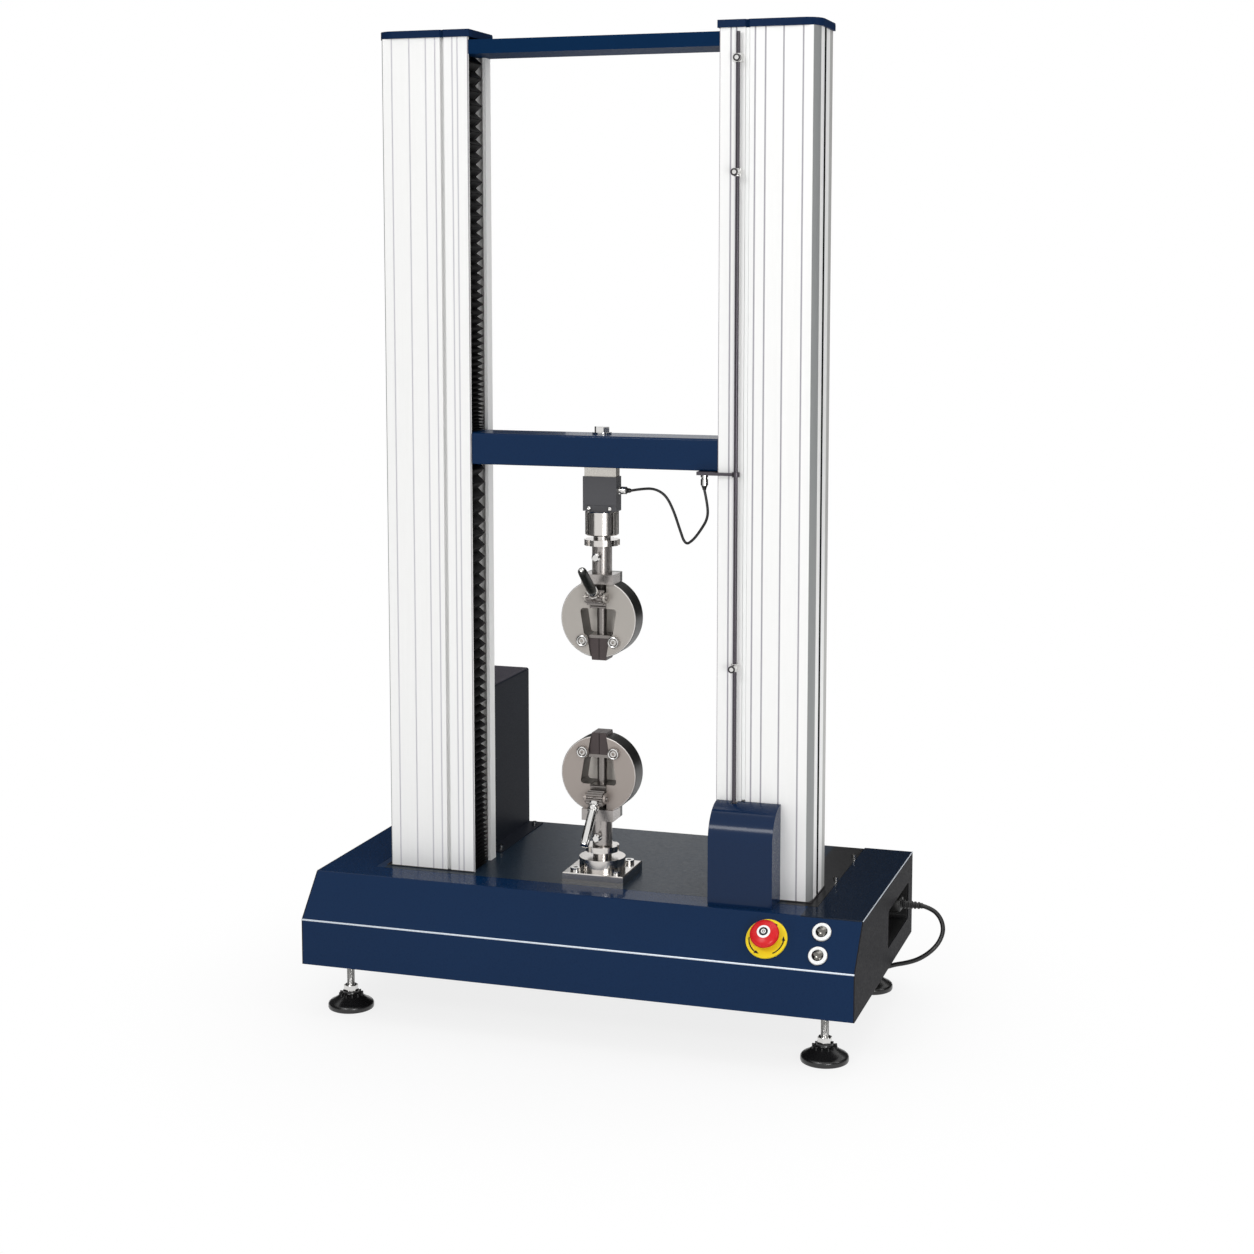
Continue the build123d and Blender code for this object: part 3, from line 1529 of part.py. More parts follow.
def make_button_bezels():
    """Chrome bezels of the two jog buttons, let into the panel."""
    pieces = []
    for plane in jog_planes:
        with BuildPart() as bezel:
            with BuildSketch(plane):
                Circle(jog_bezel_radius)
            extrude(amount=jog_bezel_height)
            chamfer(bezel.edges(), length=line_depth)
            with BuildSketch(plane.offset(-jog_depth)):
                Circle(jog_button_radius + 2 * sheet)
            extrude(amount=jog_depth)
            with BuildSketch(plane.offset(-jog_depth)):
                Circle(jog_button_radius + control_gap)
            extrude(amount=2 * jog_depth, mode=Mode.SUBTRACT)
        pieces.append(bezel.part)
    return Compound(children=pieces)


def make_jog_button(plane):
    """Domed push button inside its bezel."""
    crown = jog_button_height + jog_button_dome
    dome_radius = (jog_button_radius**2 + jog_button_dome**2) / (2 * jog_button_dome)
    with BuildPart() as button:
        with BuildSketch(Plane.XZ):
            with BuildLine():
                Polyline(
                    (0, crown),
                    (0, -jog_depth),
                    (jog_button_radius, -jog_depth),
                    (jog_button_radius, jog_button_height),
                )
                RadiusArc((jog_button_radius, jog_button_height), (0, crown), -dome_radius)
            make_face()
        revolve(axis=Axis.Z)
    return plane.location * button.part


def make_power_inlet():
    """Recess tray in the right end, with the appliance inlet and the switch frame."""
    middle_y = recess_front + recess_length / 2
    middle_z = recess_bottom + recess_height / 2
    with BuildPart() as tray:
        with BuildSketch(Plane.YZ.offset(panel_x - sheet)):
            with Locations((middle_y, middle_z)):
                Rectangle(recess_length + 2 * sheet, recess_height + 2 * sheet)
        extrude(amount=recess_depth)
        fillet(tray.edges().filter_by(Axis.X), radius=recess_rim + sheet)
        offset(amount=-sheet, openings=tray.faces().sort_by(Axis.X)[-1])
        with BuildSketch(Plane.YZ.offset(panel_x)):
            with Locations((inlet_y, inlet_z)):
                Rectangle(inlet_width + 2 * inlet_wall, inlet_height + 2 * inlet_wall)
                Rectangle(inlet_width, inlet_height, mode=Mode.SUBTRACT)
            with Locations((rocker_y, inlet_z)):
                Rectangle(rocker_width + 2 * rocker_frame_wall, rocker_height + 2 * rocker_frame_wall)
                Rectangle(rocker_width, rocker_height, mode=Mode.SUBTRACT)
        extrude(amount=inlet_stand)
    return tray.part


def make_rocker():
    """Power switch rocker, pivoted across its middle."""
    half = rocker_height / 2 - rocker_gap
    low = panel_x + rocker_gap
    crown = low + rocker_thickness
    with BuildPart() as rocker:
        with BuildSketch(Plane.XZ.offset(-rocker_y)):
            with BuildLine():
                Polyline(
                    (low + rocker_crown, inlet_z - half + rocker_crown),
                    (crown, inlet_z - half + rocker_gap),
                    (crown - rocker_crown, inlet_z),
                    (crown, inlet_z + half - rocker_gap),
                    (low + rocker_crown, inlet_z + half - rocker_crown),
                    (low, inlet_z),
                    close=True,
                )
            make_face()
        extrude(amount=rocker_width / 2 - rocker_gap, both=True)
        with BuildSketch(Plane.XZ.offset(-rocker_y)):
            with Locations((low + rocker_thickness / 2, inlet_z)):
                Circle(rocker_pivot_radius)
        extrude(amount=rocker_width / 2 - running_gap, both=True)
    pivot = Axis((low + rocker_thickness / 2, rocker_y, inlet_z), (0, 1, 0))
    return rocker.part.rotate(pivot, rocker_tilt)


plug_root_x = panel_x + control_gap
plug_body_end = plug_root_x + plug_body_length
plug_exit_x = plug_body_end + plug_neck_length


def make_inlet_plug():
    """Appliance connector in the inlet, with its ribbed strain relief."""
    with BuildPart() as plug:
        with BuildSketch(Plane.YZ.offset(plug_root_x)):
            with Locations((inlet_y, inlet_z)):
                Rectangle(inlet_width - 2 * control_gap, inlet_height - 2 * control_gap)
        extrude(amount=plug_body_length)
        fillet(plug.edges().group_by(Axis.X)[-1], radius=bend_radius)
        with BuildSketch(Plane.YZ.offset(plug_body_end)):
            with Locations((inlet_y, inlet_z)):
                Circle(plug_neck_radius)
        extrude(amount=plug_neck_length, taper=plug_neck_taper)
        for index in range(plug_rib_count):
            start = plug_body_end + plug_rib_start + index * plug_rib_pitch
            with BuildSketch(Plane.YZ.offset(start)):
                with Locations((inlet_y, inlet_z)):
                    Circle(plug_neck_radius + line_depth)
            extrude(amount=plug_rib_width)
    return plug.part


# Route of the mains cord, from the strain relief to the coil on the floor
mains_points = [
    (plug_exit_x, inlet_y, inlet_z),
    (plug_exit_x + 16, inlet_y, inlet_z - 3.5),
    (plug_exit_x + 30, inlet_y - 4, inlet_z - 16),
    (plug_exit_x + 35.5, inlet_y - 11, inlet_z - 32),
    (plug_exit_x + 31, inlet_y - 19, inlet_z - 48),
    (plug_exit_x + 20, inlet_y - 26, inlet_z - 62),
    (plug_exit_x + 2, inlet_y - 31, inlet_z - 75),
    (plug_exit_x - 17, inlet_y - 34, inlet_z - 82),
    (plug_exit_x - 36, inlet_y - 36, inlet_z - 86),
    (plug_exit_x - 58, inlet_y - 41, inlet_z - 94),
    (plug_exit_x - 80, inlet_y - 48, inlet_z - 107),
    (plug_exit_x - 102, inlet_y - 57, inlet_z - 122),
    (plug_exit_x - 126, inlet_y - 66, inlet_z - 136),
    (plug_exit_x - 152, inlet_y - 73, inlet_z - 143.2),
    (plug_exit_x - 177, inlet_y - 74.5, inlet_z - 143.5),
    (plug_exit_x - 202, inlet_y - 75.3, inlet_z - 143.5),
]
cable_start_x = cell_width / 2 + sheet + cable_plug_length + cable_boot_length
cell_plug_z = crosshead_bottom - cell_plug_drop
box_plug_x = crosshead_half - box_plug_end_margin
box_plug_y = crosshead_front + box_plug_front_margin
box_plug_low = crosshead_bottom - striker_plate_thickness - box_plug_length - box_plug_boot

# Route of the load-cell cable, from the cell plug to the plug under the crosshead
cable_points = [
    (cable_start_x, load_y, cell_plug_z),
    (cable_start_x + 18, load_y - 1, cell_plug_z + 3.4),
    (cable_start_x + 38, load_y - 4, cell_plug_z + 4.6),
    (cable_start_x + 56, load_y - 7, cell_plug_z - 4),
    (cable_start_x + 69, load_y - 11, cell_plug_z - 25),
    (cable_start_x + 80, load_y - 14, cell_plug_z - 49),
    (cable_start_x + 91, load_y - 17, cell_plug_z - 71),
    (cable_start_x + 105, load_y - 21, cell_plug_z - 66),
    (cable_start_x + 117, load_y - 25, cell_plug_z - 51),
    (cable_start_x + 127, load_y - 29, cell_plug_z - 33),
    (box_plug_x + 4.5, box_plug_y + 1, cell_plug_z - 12),
    (box_plug_x, box_plug_y, box_plug_low),
]


def route_radii(points, name):
    """Bend radius at each inner point, as large as its shorter run allows."""
    radii = []
    for before, here, after in zip(points, points[1:], points[2:]):
        first = Vector(*here) - Vector(*before)
        second = Vector(*after) - Vector(*here)
        turn = first.get_angle(second)
        radii.append(bend_share * min(first.length, second.length) / tan(radians(turn / 2)))
    print(name, "radii", [round(radius, 1) for radius in radii])
    return radii


def make_cord(points, radius, name):
    """Round cord along straight runs joined by arcs."""
    with BuildPart() as cord:
        with BuildLine() as path:
            FilletPolyline(*points, radius=route_radii(points, name))
        start = path.line @ 0
        heading = path.line % 0
        with BuildSketch(Plane(origin=start, z_dir=heading)):
            Circle(radius)
        sweep(transition=Transition.ROUND)
    length = path.wires()[0].length
    share = cord.part.volume / (pi * radius**2 * length)
    print(name, "length", round(length, 1), "volume share", round(share, 4))
    return cord.part


def make_mains_coil():
    """Outer shape of the coiled spare cord, lying on the floor."""
    with BuildPart() as coil:
        with BuildSketch(Plane.XZ):
            with Locations(((coil_outer_radius + coil_inner_radius) / 2, coil_height / 2)):
                ring = Rectangle(coil_outer_radius - coil_inner_radius, coil_height)
            chamfer(ring.vertices(), length=coil_edge)
        revolve(axis=Axis.Z)
    return Pos(coil_x, coil_y, 0) * coil.part


def make_mains_plug():
    """Mains plug at the far end of the cord, lying beside the coil."""
    plug_x = coil_x - coil_exit_radius
    inner_edge = coil_exit_radius - plug_neck_radius
    neck_start = coil_y + sqrt(coil_outer_radius**2 - inner_edge**2)
    body_start = neck_start + far_plug_neck
    middle_z = far_plug_height / 2
    with BuildPart() as plug:
        with BuildSketch(Plane.XZ.offset(-body_start)):
            with Locations((plug_x, middle_z)):
                RectangleRounded(far_plug_width, far_plug_height, radius=far_plug_edge)
        extrude(amount=-far_plug_length)
        with BuildSketch(Plane.XZ.offset(-neck_start)):
            with Locations((plug_x, middle_z)):
                Circle(plug_neck_radius)
        extrude(amount=-far_plug_neck)
        with BuildSketch(Plane.XZ.offset(-body_start - far_plug_length)):
            with Locations((plug_x, middle_z)):
                with GridLocations(blade_spacing, 0, 2, 1):
                    Rectangle(blade_thickness, blade_width)
        extrude(amount=-blade_length)
    return plug.part


def make_cable_plugs():
    """Plug on the load cell and plug under the crosshead."""
    cell_side = cell_width / 2 + sheet
    boot_x = cell_side + cable_plug_length
    with BuildPart() as cell_plug:
        with BuildSketch(Plane(origin=(cell_side, load_y, cell_plug_z), z_dir=(1, 0, 0))):
            Circle(cable_plug_radius)
        extrude(amount=cable_plug_length)
        with BuildSketch(Plane(origin=(boot_x, load_y, cell_plug_z), z_dir=(1, 0, 0))):
            Circle(cable_boot_radius)
        extrude(amount=cable_boot_length)
    plug_top = crosshead_bottom - striker_plate_thickness
    with BuildPart() as box_plug:
        with BuildSketch(Plane.XY.offset(plug_top)):
            with Locations((box_plug_x, box_plug_y)):
                Circle(box_plug_radius)
        extrude(amount=-box_plug_length)
        with BuildSketch(Plane.XY.offset(plug_top - box_plug_length)):
            with Locations((box_plug_x, box_plug_y)):
                Circle(cable_boot_radius)
        extrude(amount=-box_plug_boot)
    return Compound(children=[cell_plug.part, box_plug.part])


# Base and frame
save(make_base_cover(), "base_cover")
save(make_base_panels(), "base_panels")
save(make_base_frame(), "base_frame")
save(make_feet(), "levelling_feet")
save(make_bed_plate(), "bed_plate")
save(make_bed_fasteners(), "bed_fasteners")

# Columns, caps and top beam
save(make_column(-1), "left_column")
save(make_column(1), "right_column")
save(make_caps(), "column_caps")
save(make_top_beam(), "top_beam")

# Drive
save(make_column_guides(), "column_guides")
save(make_screw(-1), "left_screw")
save(make_screw(1), "right_screw")
save(make_belt(), "drive_belt")
save(make_motor(), "motor")
save(make_motor_pulley(), "motor_pulley")
save(make_motor_box(), "motor_box")

# Crosshead
save(make_crosshead(), "crosshead")
save(make_crosshead_bearings(), "crosshead_bearings")
save(make_clamp_bolt(), "clamp_bolt")
save(
    make_bellows(crosshead_top + free_gap, beam_bottom - free_gap, upper_fold_count),
    "upper_bellows",
)
save(
    make_bellows(bed_z + free_gap, crosshead_bottom - free_gap, lower_fold_count),
    "lower_bellows",
)

# Load string and lower fixture
save(make_load_cell(), "load_cell")
save(make_cell_cover(), "cell_cover")
save(make_cell_coupling(), "cell_coupling")
save(make_mounting_flange(), "mounting_flange")
upper_yoke_z = upper_yoke_top - upper_yoke_height
upper_yoke = make_yoke(upper_yoke_top, upper_yoke_z, upper_yoke_height, upper_pin_z)
lower_yoke = make_yoke(lower_shank_bottom, lower_yoke_bottom, lower_yoke_height, lower_pin_z)
save(upper_yoke, "upper_yoke")
save(lower_yoke, "lower_yoke")
save(make_pin(upper_pin_z), "upper_pin")
save(make_pin(lower_pin_z), "lower_pin")

# Wedge grips
for grip, centre_z, side, lean in (
    ("upper", upper_grip_z, 1, upper_lever_lean),
    ("lower", lower_grip_z, -1, lower_lever_lean),
):
    save(make_grip_body(centre_z, side), f"{grip}_grip_body")
    save(make_slider(centre_z, side), f"{grip}_slider")
    save(make_lever(centre_z, side, lean), f"{grip}_lever")
    save(make_jaw(centre_z, side, -1), f"{grip}_left_jaw")
    save(make_jaw(centre_z, side, 1), f"{grip}_right_jaw")

# Limit rod and hood
save(make_hood(), "hood")
save(make_limit_fittings(), "limit_fittings")
save(make_limit_rod(), "limit_rod")
save(make_stop(column_top - upper_stop_drop), "upper_stop")
save(make_stop(bed_z + lower_stop_rise), "lower_stop")
save(make_striker(), "striker_arm")

# Operator controls and power inlet
save(make_estop_base(), "estop_base")
save(make_estop_stem(), "estop_stem")
save(make_estop_head(), "estop_head")
save(make_button_bezels(), "button_bezels")
save(make_jog_button(jog_planes[0]), "jog_button_up")
save(make_jog_button(jog_planes[1]), "jog_button_down")
save(make_power_inlet(), "power_inlet")
save(make_rocker(), "rocker")

# Cords and plugs
save(make_inlet_plug(), "inlet_plug")
save(make_cord(mains_points, cord_radius, "mains cord"), "mains_cord")
save(make_mains_coil(), "mains_coil")
save(make_mains_plug(), "mains_plug")
save(make_cable_plugs(), "cable_plugs")
save(make_cord(cable_points, cable_radius, "signal cable"), "signal_cable")
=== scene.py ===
import json
from math import cos, pi, radians, sin, sqrt

import bmesh
import bpy
from mathutils import Matrix, Vector


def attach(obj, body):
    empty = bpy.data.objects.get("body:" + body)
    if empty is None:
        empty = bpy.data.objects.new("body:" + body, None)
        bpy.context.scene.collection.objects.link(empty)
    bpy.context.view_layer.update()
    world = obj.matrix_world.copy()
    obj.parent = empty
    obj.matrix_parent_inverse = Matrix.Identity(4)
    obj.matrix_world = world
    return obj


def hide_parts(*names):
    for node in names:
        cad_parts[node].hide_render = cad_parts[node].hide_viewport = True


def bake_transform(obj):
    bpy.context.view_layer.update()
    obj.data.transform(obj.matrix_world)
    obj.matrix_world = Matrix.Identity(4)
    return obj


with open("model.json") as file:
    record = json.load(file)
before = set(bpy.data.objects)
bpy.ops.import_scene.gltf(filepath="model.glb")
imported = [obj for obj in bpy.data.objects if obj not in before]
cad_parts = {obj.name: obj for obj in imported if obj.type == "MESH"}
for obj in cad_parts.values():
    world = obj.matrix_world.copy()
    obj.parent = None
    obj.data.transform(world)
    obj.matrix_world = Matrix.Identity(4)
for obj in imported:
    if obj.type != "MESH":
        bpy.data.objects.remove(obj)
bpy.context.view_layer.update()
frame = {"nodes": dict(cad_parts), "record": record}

scene = bpy.context.scene
nodes = frame["nodes"]
mm = 0.001

# Places on the machine in mm
load_y = -56.0
upper_grip_z = 607.6
lower_grip_z = 370.9
retainer_x = 24.6
retainer_y = -79.1
upper_retainer_z = 574.0
lower_retainer_z = 404.5
grip_face_y = -74.4
rod_x = 220.5
stop_screw_y = -129.8
guide_screw_y = -119.7
end_x = 424.75
column_in_x = 191.3
column_width = 142.5
column_front_y = -100.9
foot_x = 371
foot_y = 164
foot_nut_z = 28


# Camera at the photograph's place
camera_data = bpy.data.cameras.new("camera")
camera = bpy.data.objects.new("camera", camera_data)
scene.collection.objects.link(camera)
camera.location = (1.01891, -3.1061, 1.13381)
camera.rotation_euler = (radians(83.5), 0, radians(17.809))
camera_data.sensor_width = 36
camera_data.lens = 62.2899
camera_data.shift_y = -0.0924
camera_data.clip_end = 200
scene.camera = camera


# Materials
def linear(red, green, blue):
    """Linear colour of an sRGB triple from 0 to 255."""
    result = []
    for value in (red, green, blue):
        share = value / 255
        result.append(share / 12.92 if share <= 0.04045 else ((share + 0.055) / 1.055) ** 2.4)
    return result


def noise(tree, source, scale, detail):
    """Noise texture read in stretched object coordinates."""
    node = tree.nodes.new("ShaderNodeTexNoise")
    node.inputs["Scale"].default_value = scale
    node.inputs["Detail"].default_value = detail
    tree.links.new(source.outputs["Vector"], node.inputs["Vector"])
    return node.outputs["Fac"]


def spread_range(tree, value, low, high):
    """Noise value spread between two bounds."""
    node = tree.nodes.new("ShaderNodeMapRange")
    node.inputs["From Min"].default_value = 0.3
    node.inputs["From Max"].default_value = 0.7
    node.inputs["To Min"].default_value = low
    node.inputs["To Max"].default_value = high
    tree.links.new(value, node.inputs["Value"])
    return node.outputs["Result"]


def step_up(tree, value, edge, soft=0.0001):
    """One where a value is above an edge, with a soft step."""
    node = tree.nodes.new("ShaderNodeMapRange")
    node.inputs["From Min"].default_value = edge - soft
    node.inputs["From Max"].default_value = edge + soft
    tree.links.new(value, node.inputs["Value"])
    return node.outputs["Result"]


def combine(tree, operation, first, second):
    """Result of a math operation on two sockets or numbers."""
    node = tree.nodes.new("ShaderNodeMath")
    node.operation = operation
    for place, value in zip(node.inputs, (first, second)):
        if isinstance(value, float):
            place.default_value = value
        else:
            tree.links.new(value, place)
    return node.outputs["Value"]


def inside(tree, coords, ranges):
    """Product of steps that is one inside the given ranges of position.

    A range's key is an axis, AX for the distance from the middle plane, or the height in metres of
    the point that a radius is measured from.
    """
    parts = tree.nodes.new("ShaderNodeSeparateXYZ")
    tree.links.new(coords.outputs["Object"], parts.inputs["Vector"])
    result = None
    for key, low, high in ranges:
        if key in ("X", "Y", "Z"):
            value = parts.outputs[key]
        elif key == "AX":
            size = tree.nodes.new("ShaderNodeMath")
            size.operation = "ABSOLUTE"
            tree.links.new(parts.outputs["X"], size.inputs[0])
            value = size.outputs["Value"]
        else:
            reach = tree.nodes.new("ShaderNodeVectorMath")
            reach.operation = "DISTANCE"
            flat = tree.nodes.new("ShaderNodeCombineXYZ")
            tree.links.new(parts.outputs["X"], flat.inputs["X"])
            tree.links.new(parts.outputs["Z"], flat.inputs["Z"])
            tree.links.new(flat.outputs["Vector"], reach.inputs[0])
            reach.inputs[1].default_value = (0, 0, key)
            value = reach.outputs["Value"]
        for edge, rising in ((low, True), (high, False)):
            if edge is None:
                continue
            share = step_up(tree, value, edge)
            if not rising:
                share = combine(tree, "SUBTRACT", 1.0, share)
            result = share if result is None else combine(tree, "MULTIPLY", result, share)
    return result


def material(
    name,
    colour,
    rough,
    metallic=0.0,
    specular=0.5,
    variation=0.08,
    rough_variation=0.08,
    patch=7.0,
    grain=700.0,
    stretch=(1, 1, 1),
    bump=0.1,
    depth=0.0002,
    coat=0.0,
    coat_rough=0.08,
    rings=None,
    weave=0.0,
    tones=(),
):
    """Procedural finish: cloudy colour, grained roughness and a fine relief.

    Each tone is a second colour with the position ranges in metres that it covers.
    """
    mat = bpy.data.materials.new(name)
    mat.use_nodes = True
    tree = mat.node_tree
    tree.nodes.clear()
    output = tree.nodes.new("ShaderNodeOutputMaterial")
    shader = tree.nodes.new("ShaderNodeBsdfPrincipled")
    shader.inputs["Metallic"].default_value = metallic
    shader.inputs["Specular IOR Level"].default_value = specular
    shader.inputs["Coat Weight"].default_value = coat
    shader.inputs["Coat Roughness"].default_value = coat_rough
    tree.links.new(shader.outputs["BSDF"], output.inputs["Surface"])
    coords = tree.nodes.new("ShaderNodeTexCoord")
    mapping = tree.nodes.new("ShaderNodeMapping")
    mapping.inputs["Scale"].default_value = stretch
    tree.links.new(coords.outputs["Object"], mapping.inputs["Vector"])
    cloudy = noise(tree, mapping, patch, 4)
    fine = noise(tree, mapping, grain, 3)
    both = tree.nodes.new("ShaderNodeMix")
    both.inputs["Factor"].default_value = 0.5
    tree.links.new(cloudy, both.inputs["A"])
    tree.links.new(fine, both.inputs["B"])
    ramp = tree.nodes.new("ShaderNodeValToRGB")
    base = linear(*colour)
    ramp.color_ramp.elements[0].position = 0.3
    ramp.color_ramp.elements[1].position = 0.7
    ramp.color_ramp.elements[0].color = [c * (1 - variation) for c in base] + [1]
    ramp.color_ramp.elements[1].color = [min(1, c * (1 + variation)) for c in base] + [1]
    tree.links.new(both.outputs["Result"], ramp.inputs["Fac"])
    tint = ramp.outputs["Color"]
    for tone, ranges in tones:
        cover = inside(tree, coords, ranges)
        blend = tree.nodes.new("ShaderNodeMix")
        blend.data_type = "RGBA"
        blend.inputs["B"].default_value = linear(*tone) + [1]
        tree.links.new(cover, blend.inputs["Factor"])
        tree.links.new(tint, blend.inputs["A"])
        tint = blend.outputs["Result"]
    tree.links.new(tint, shader.inputs["Base Color"])
    relief = fine
    if rings:
        centre, axis, pitch = rings
        shifted = tree.nodes.new("ShaderNodeMapping")
        shifted.inputs["Location"].default_value = [-c for c in centre]
        tree.links.new(coords.outputs["Object"], shifted.inputs["Vector"])
        wave = tree.nodes.new("ShaderNodeTexWave")
        wave.wave_type = "RINGS"
        wave.rings_direction = axis
        wave.inputs["Scale"].default_value = 1 / (20 * pitch)
        wave.inputs["Distortion"].default_value = 0.3
        wave.inputs["Detail"].default_value = 1
        tree.links.new(shifted.outputs["Vector"], wave.inputs["Vector"])
        relief = wave.outputs["Fac"]
    if weave:
        across = tree.nodes.new("ShaderNodeTexWave")
        across.bands_direction = "Y"
        across.inputs["Scale"].default_value = 1 / (20 * weave)
        along = tree.nodes.new("ShaderNodeTexWave")
        along.bands_direction = "Z"
        along.inputs["Scale"].default_value = 1 / (20 * weave)
        tree.links.new(coords.outputs["Object"], across.inputs["Vector"])
        tree.links.new(coords.outputs["Object"], along.inputs["Vector"])
        relief = combine(tree, "MAXIMUM", across.outputs["Fac"], along.outputs["Fac"])
    tree.links.new(
        spread_range(tree, fine, max(0.03, rough - rough_variation), rough + rough_variation),
        shader.inputs["Roughness"],
    )
    bumper = tree.nodes.new("ShaderNodeBump")
    bumper.inputs["Strength"].default_value = bump
    bumper.inputs["Distance"].default_value = depth
    tree.links.new(relief, bumper.inputs["Height"])
    tree.links.new(bumper.outputs["Normal"], shader.inputs["Normal"])
    return mat


# The base cover's top strip at the right end, beyond x 334.2 mm and above 209 mm, is painted a darker
# blue: painted shade.
blue = material(
    "blue_paint", (6, 37, 71), 0.32, specular=0.02, variation=0.05, grain=420, bump=0.02,
    coat=0.24, coat_rough=0.05,
    tones=(((9, 24, 42), (("X", 0.3342, None), ("Z", 0.209, None))),),
)
charcoal = material("charcoal_paint", (33, 33, 36), 0.5, specular=0.02, grain=420)
# The bed's left end is painted in the base cover's blue; its right end beyond x 300 mm is painted
# darker, painted shade.
bed_metal = material(
    "bed_metal", (24, 37, 50), 0.34, specular=0.13, stretch=(1, 8, 1), grain=160, bump=0.08,
    tones=(
        ((11, 40, 72), (("X", None, -0.3338),)),
        ((24, 24, 26), (("X", 0.3, None),)),
    ),
)
beam_blue = material(
    "beam_blue_paint", (12, 40, 72), 0.45, specular=0.01, variation=0.05, grain=420, bump=0.02,
)
hood_blue = material(
    "hood_blue_paint", (8, 34, 66), 0.32, specular=0.02, variation=0.05, grain=420, bump=0.02,
    coat=0.4, coat_rough=0.14,
)
cap_plastic = material("cap_plastic", (13, 36, 68), 0.4, specular=0.06, grain=900, bump=0.08)
front_only = ("Y", None, column_front_y * mm)
# Thin darker lines at the grooves of the columns' front faces are painted groove shade, darker on the
# right column.
column_groove_shade = []
for share in (0.115, 0.172, 0.363, 0.468, 0.652, 0.849):
    line = (column_in_x + column_width * share) * mm
    column_groove_shade.append(((176, 173, 180), (("X", line - 0.0012, line + 0.0012), front_only)))
    column_groove_shade.append(((208, 206, 211), (("X", -line - 0.0011, -line + 0.0011), front_only)))
# The column finish also carries painted shade: a darker band along the inner front edge, a grey outer
# front chamfer, a near-black band in the outer side's slot and a grey rear part of the outer side.
aluminium = material(
    "column_aluminium", (238, 238, 237), 0.42, metallic=0.1, specular=0.3, variation=0.012, patch=16,
    stretch=(14, 14, 0.25), grain=60, bump=0.04,
    tones=column_groove_shade + [
        ((152, 148, 154), (("AX", None, 0.1922), front_only)),
        ((140, 142, 142), (("AX", 0.3266, None), ("Y", None, -0.0835))),
        ((26, 26, 27), (("AX", 0.3256, 0.33375), ("Y", -0.0641, -0.0519))),
        ((176, 176, 174), (("AX", 0.3335, None), ("Y", -0.0300, None))),
    ],
)
machined = material(
    "machined_steel", (212, 208, 204), 0.18, metallic=1.0, variation=0.02, rough_variation=0.03,
    grain=3000, bump=0.02, depth=0.00005,
)


def disc_steel(name, height, face, window_shade, rim_highlight, side):
    """Finish of a grip's round body, with painted shade on the walls of its opening, a painted highlight
    on its front bevel ring and painted shade on its side.
    """
    return material(
        name, face, 0.36, metallic=0.4, variation=0.025, patch=14, grain=2500, bump=0.03,
        depth=0.00005, rings=((0, load_y * mm, height), "Y", 0.0007),
        tones=(
            (window_shade, ((height, None, 0.0572), ("Y", -0.0737, -0.0380))),
            (rim_highlight, ((height, 0.0572, 0.0584), ("Y", None, -0.0733))),
            (side, ((height, 0.0583, None), ("Y", -0.0737, None))),
        ),
    )


upper_disc = disc_steel(
    "upper_disc_steel", upper_grip_z * mm, (168, 163, 157), (96, 92, 88), (236, 232, 228), (30, 30, 28),
)
# The lower grip's copy of the same steel is painted a little darker throughout: painted shade.
shaded_lower_disc = disc_steel(
    "lower_disc_steel", lower_grip_z * mm, (156, 147, 141), (88, 84, 81), (230, 224, 220), (24, 24, 22),
)
# The rear part of each yoke, behind y -45.5 mm, is painted dark: painted shade.
yoke_steel = material(
    "yoke_steel", (166, 161, 158), 0.24, metallic=0.85, variation=0.02, grain=3000, bump=0.02,
    depth=0.00005,
    tones=(((40, 40, 38), (("Y", -0.0455, None),)),),
)
jaw_steel = material("jaw_steel", (74, 66, 66), 0.42, metallic=0.6, variation=0.1, grain=900, bump=0.2)
rack_steel = material(
    "rack_steel", (132, 127, 124), 0.26, metallic=0.9, variation=0.04, grain=2500, bump=0.02,
)
cell_aluminium = material(
    "cell_aluminium", (208, 204, 197), 0.28, metallic=0.75, variation=0.03, stretch=(1, 1, 6),
    grain=1500, bump=0.02,
)
cell_cover = material("cell_cover_plastic", (76, 76, 79), 0.4, specular=0.25, grain=900, bump=0.12)
bright = material(
    "bright_steel", (218, 217, 215), 0.11, metallic=1.0, variation=0.02, rough_variation=0.03,
    grain=3000, bump=0.01,
)
rod_steel = material(
    "rod_steel", (78, 74, 80), 0.3, metallic=0.7, variation=0.04, grain=2500, bump=0.02,
)
button_steel = material(
    "button_steel", (112, 110, 106), 0.1, metallic=1.0, variation=0.03, rough_variation=0.03,
    grain=3000, bump=0.01,
)
back_steel = material(
    "back_steel", (246, 240, 232), 0.45, metallic=0.05, variation=0.05, grain=500, bump=0.08,
)
black_trim_and_gap_shade = material("black_trim_and_gap_shade", (46, 44, 46), 0.35, specular=0.3, grain=900)
lever_black = material("lever_black", (24, 26, 24), 0.3, specular=0.3, grain=1200, bump=0.12)
rubber = material(
    "foot_rubber", (24, 24, 25), 0.24, specular=0.6, variation=0.12, grain=1000, bump=0.15,
)
belt_rubber = material("belt_rubber", (28, 28, 28), 0.6, grain=900, bump=0.3)
bellows_cloth = material(
    "bellows_fabric", (13, 12, 13), 0.6, specular=0.1, variation=0.12, grain=900, bump=0.3,
    weave=0.0009,
)
motor_black = material("motor_black", (30, 31, 33), 0.45, metallic=0.2, grain=900, bump=0.2)
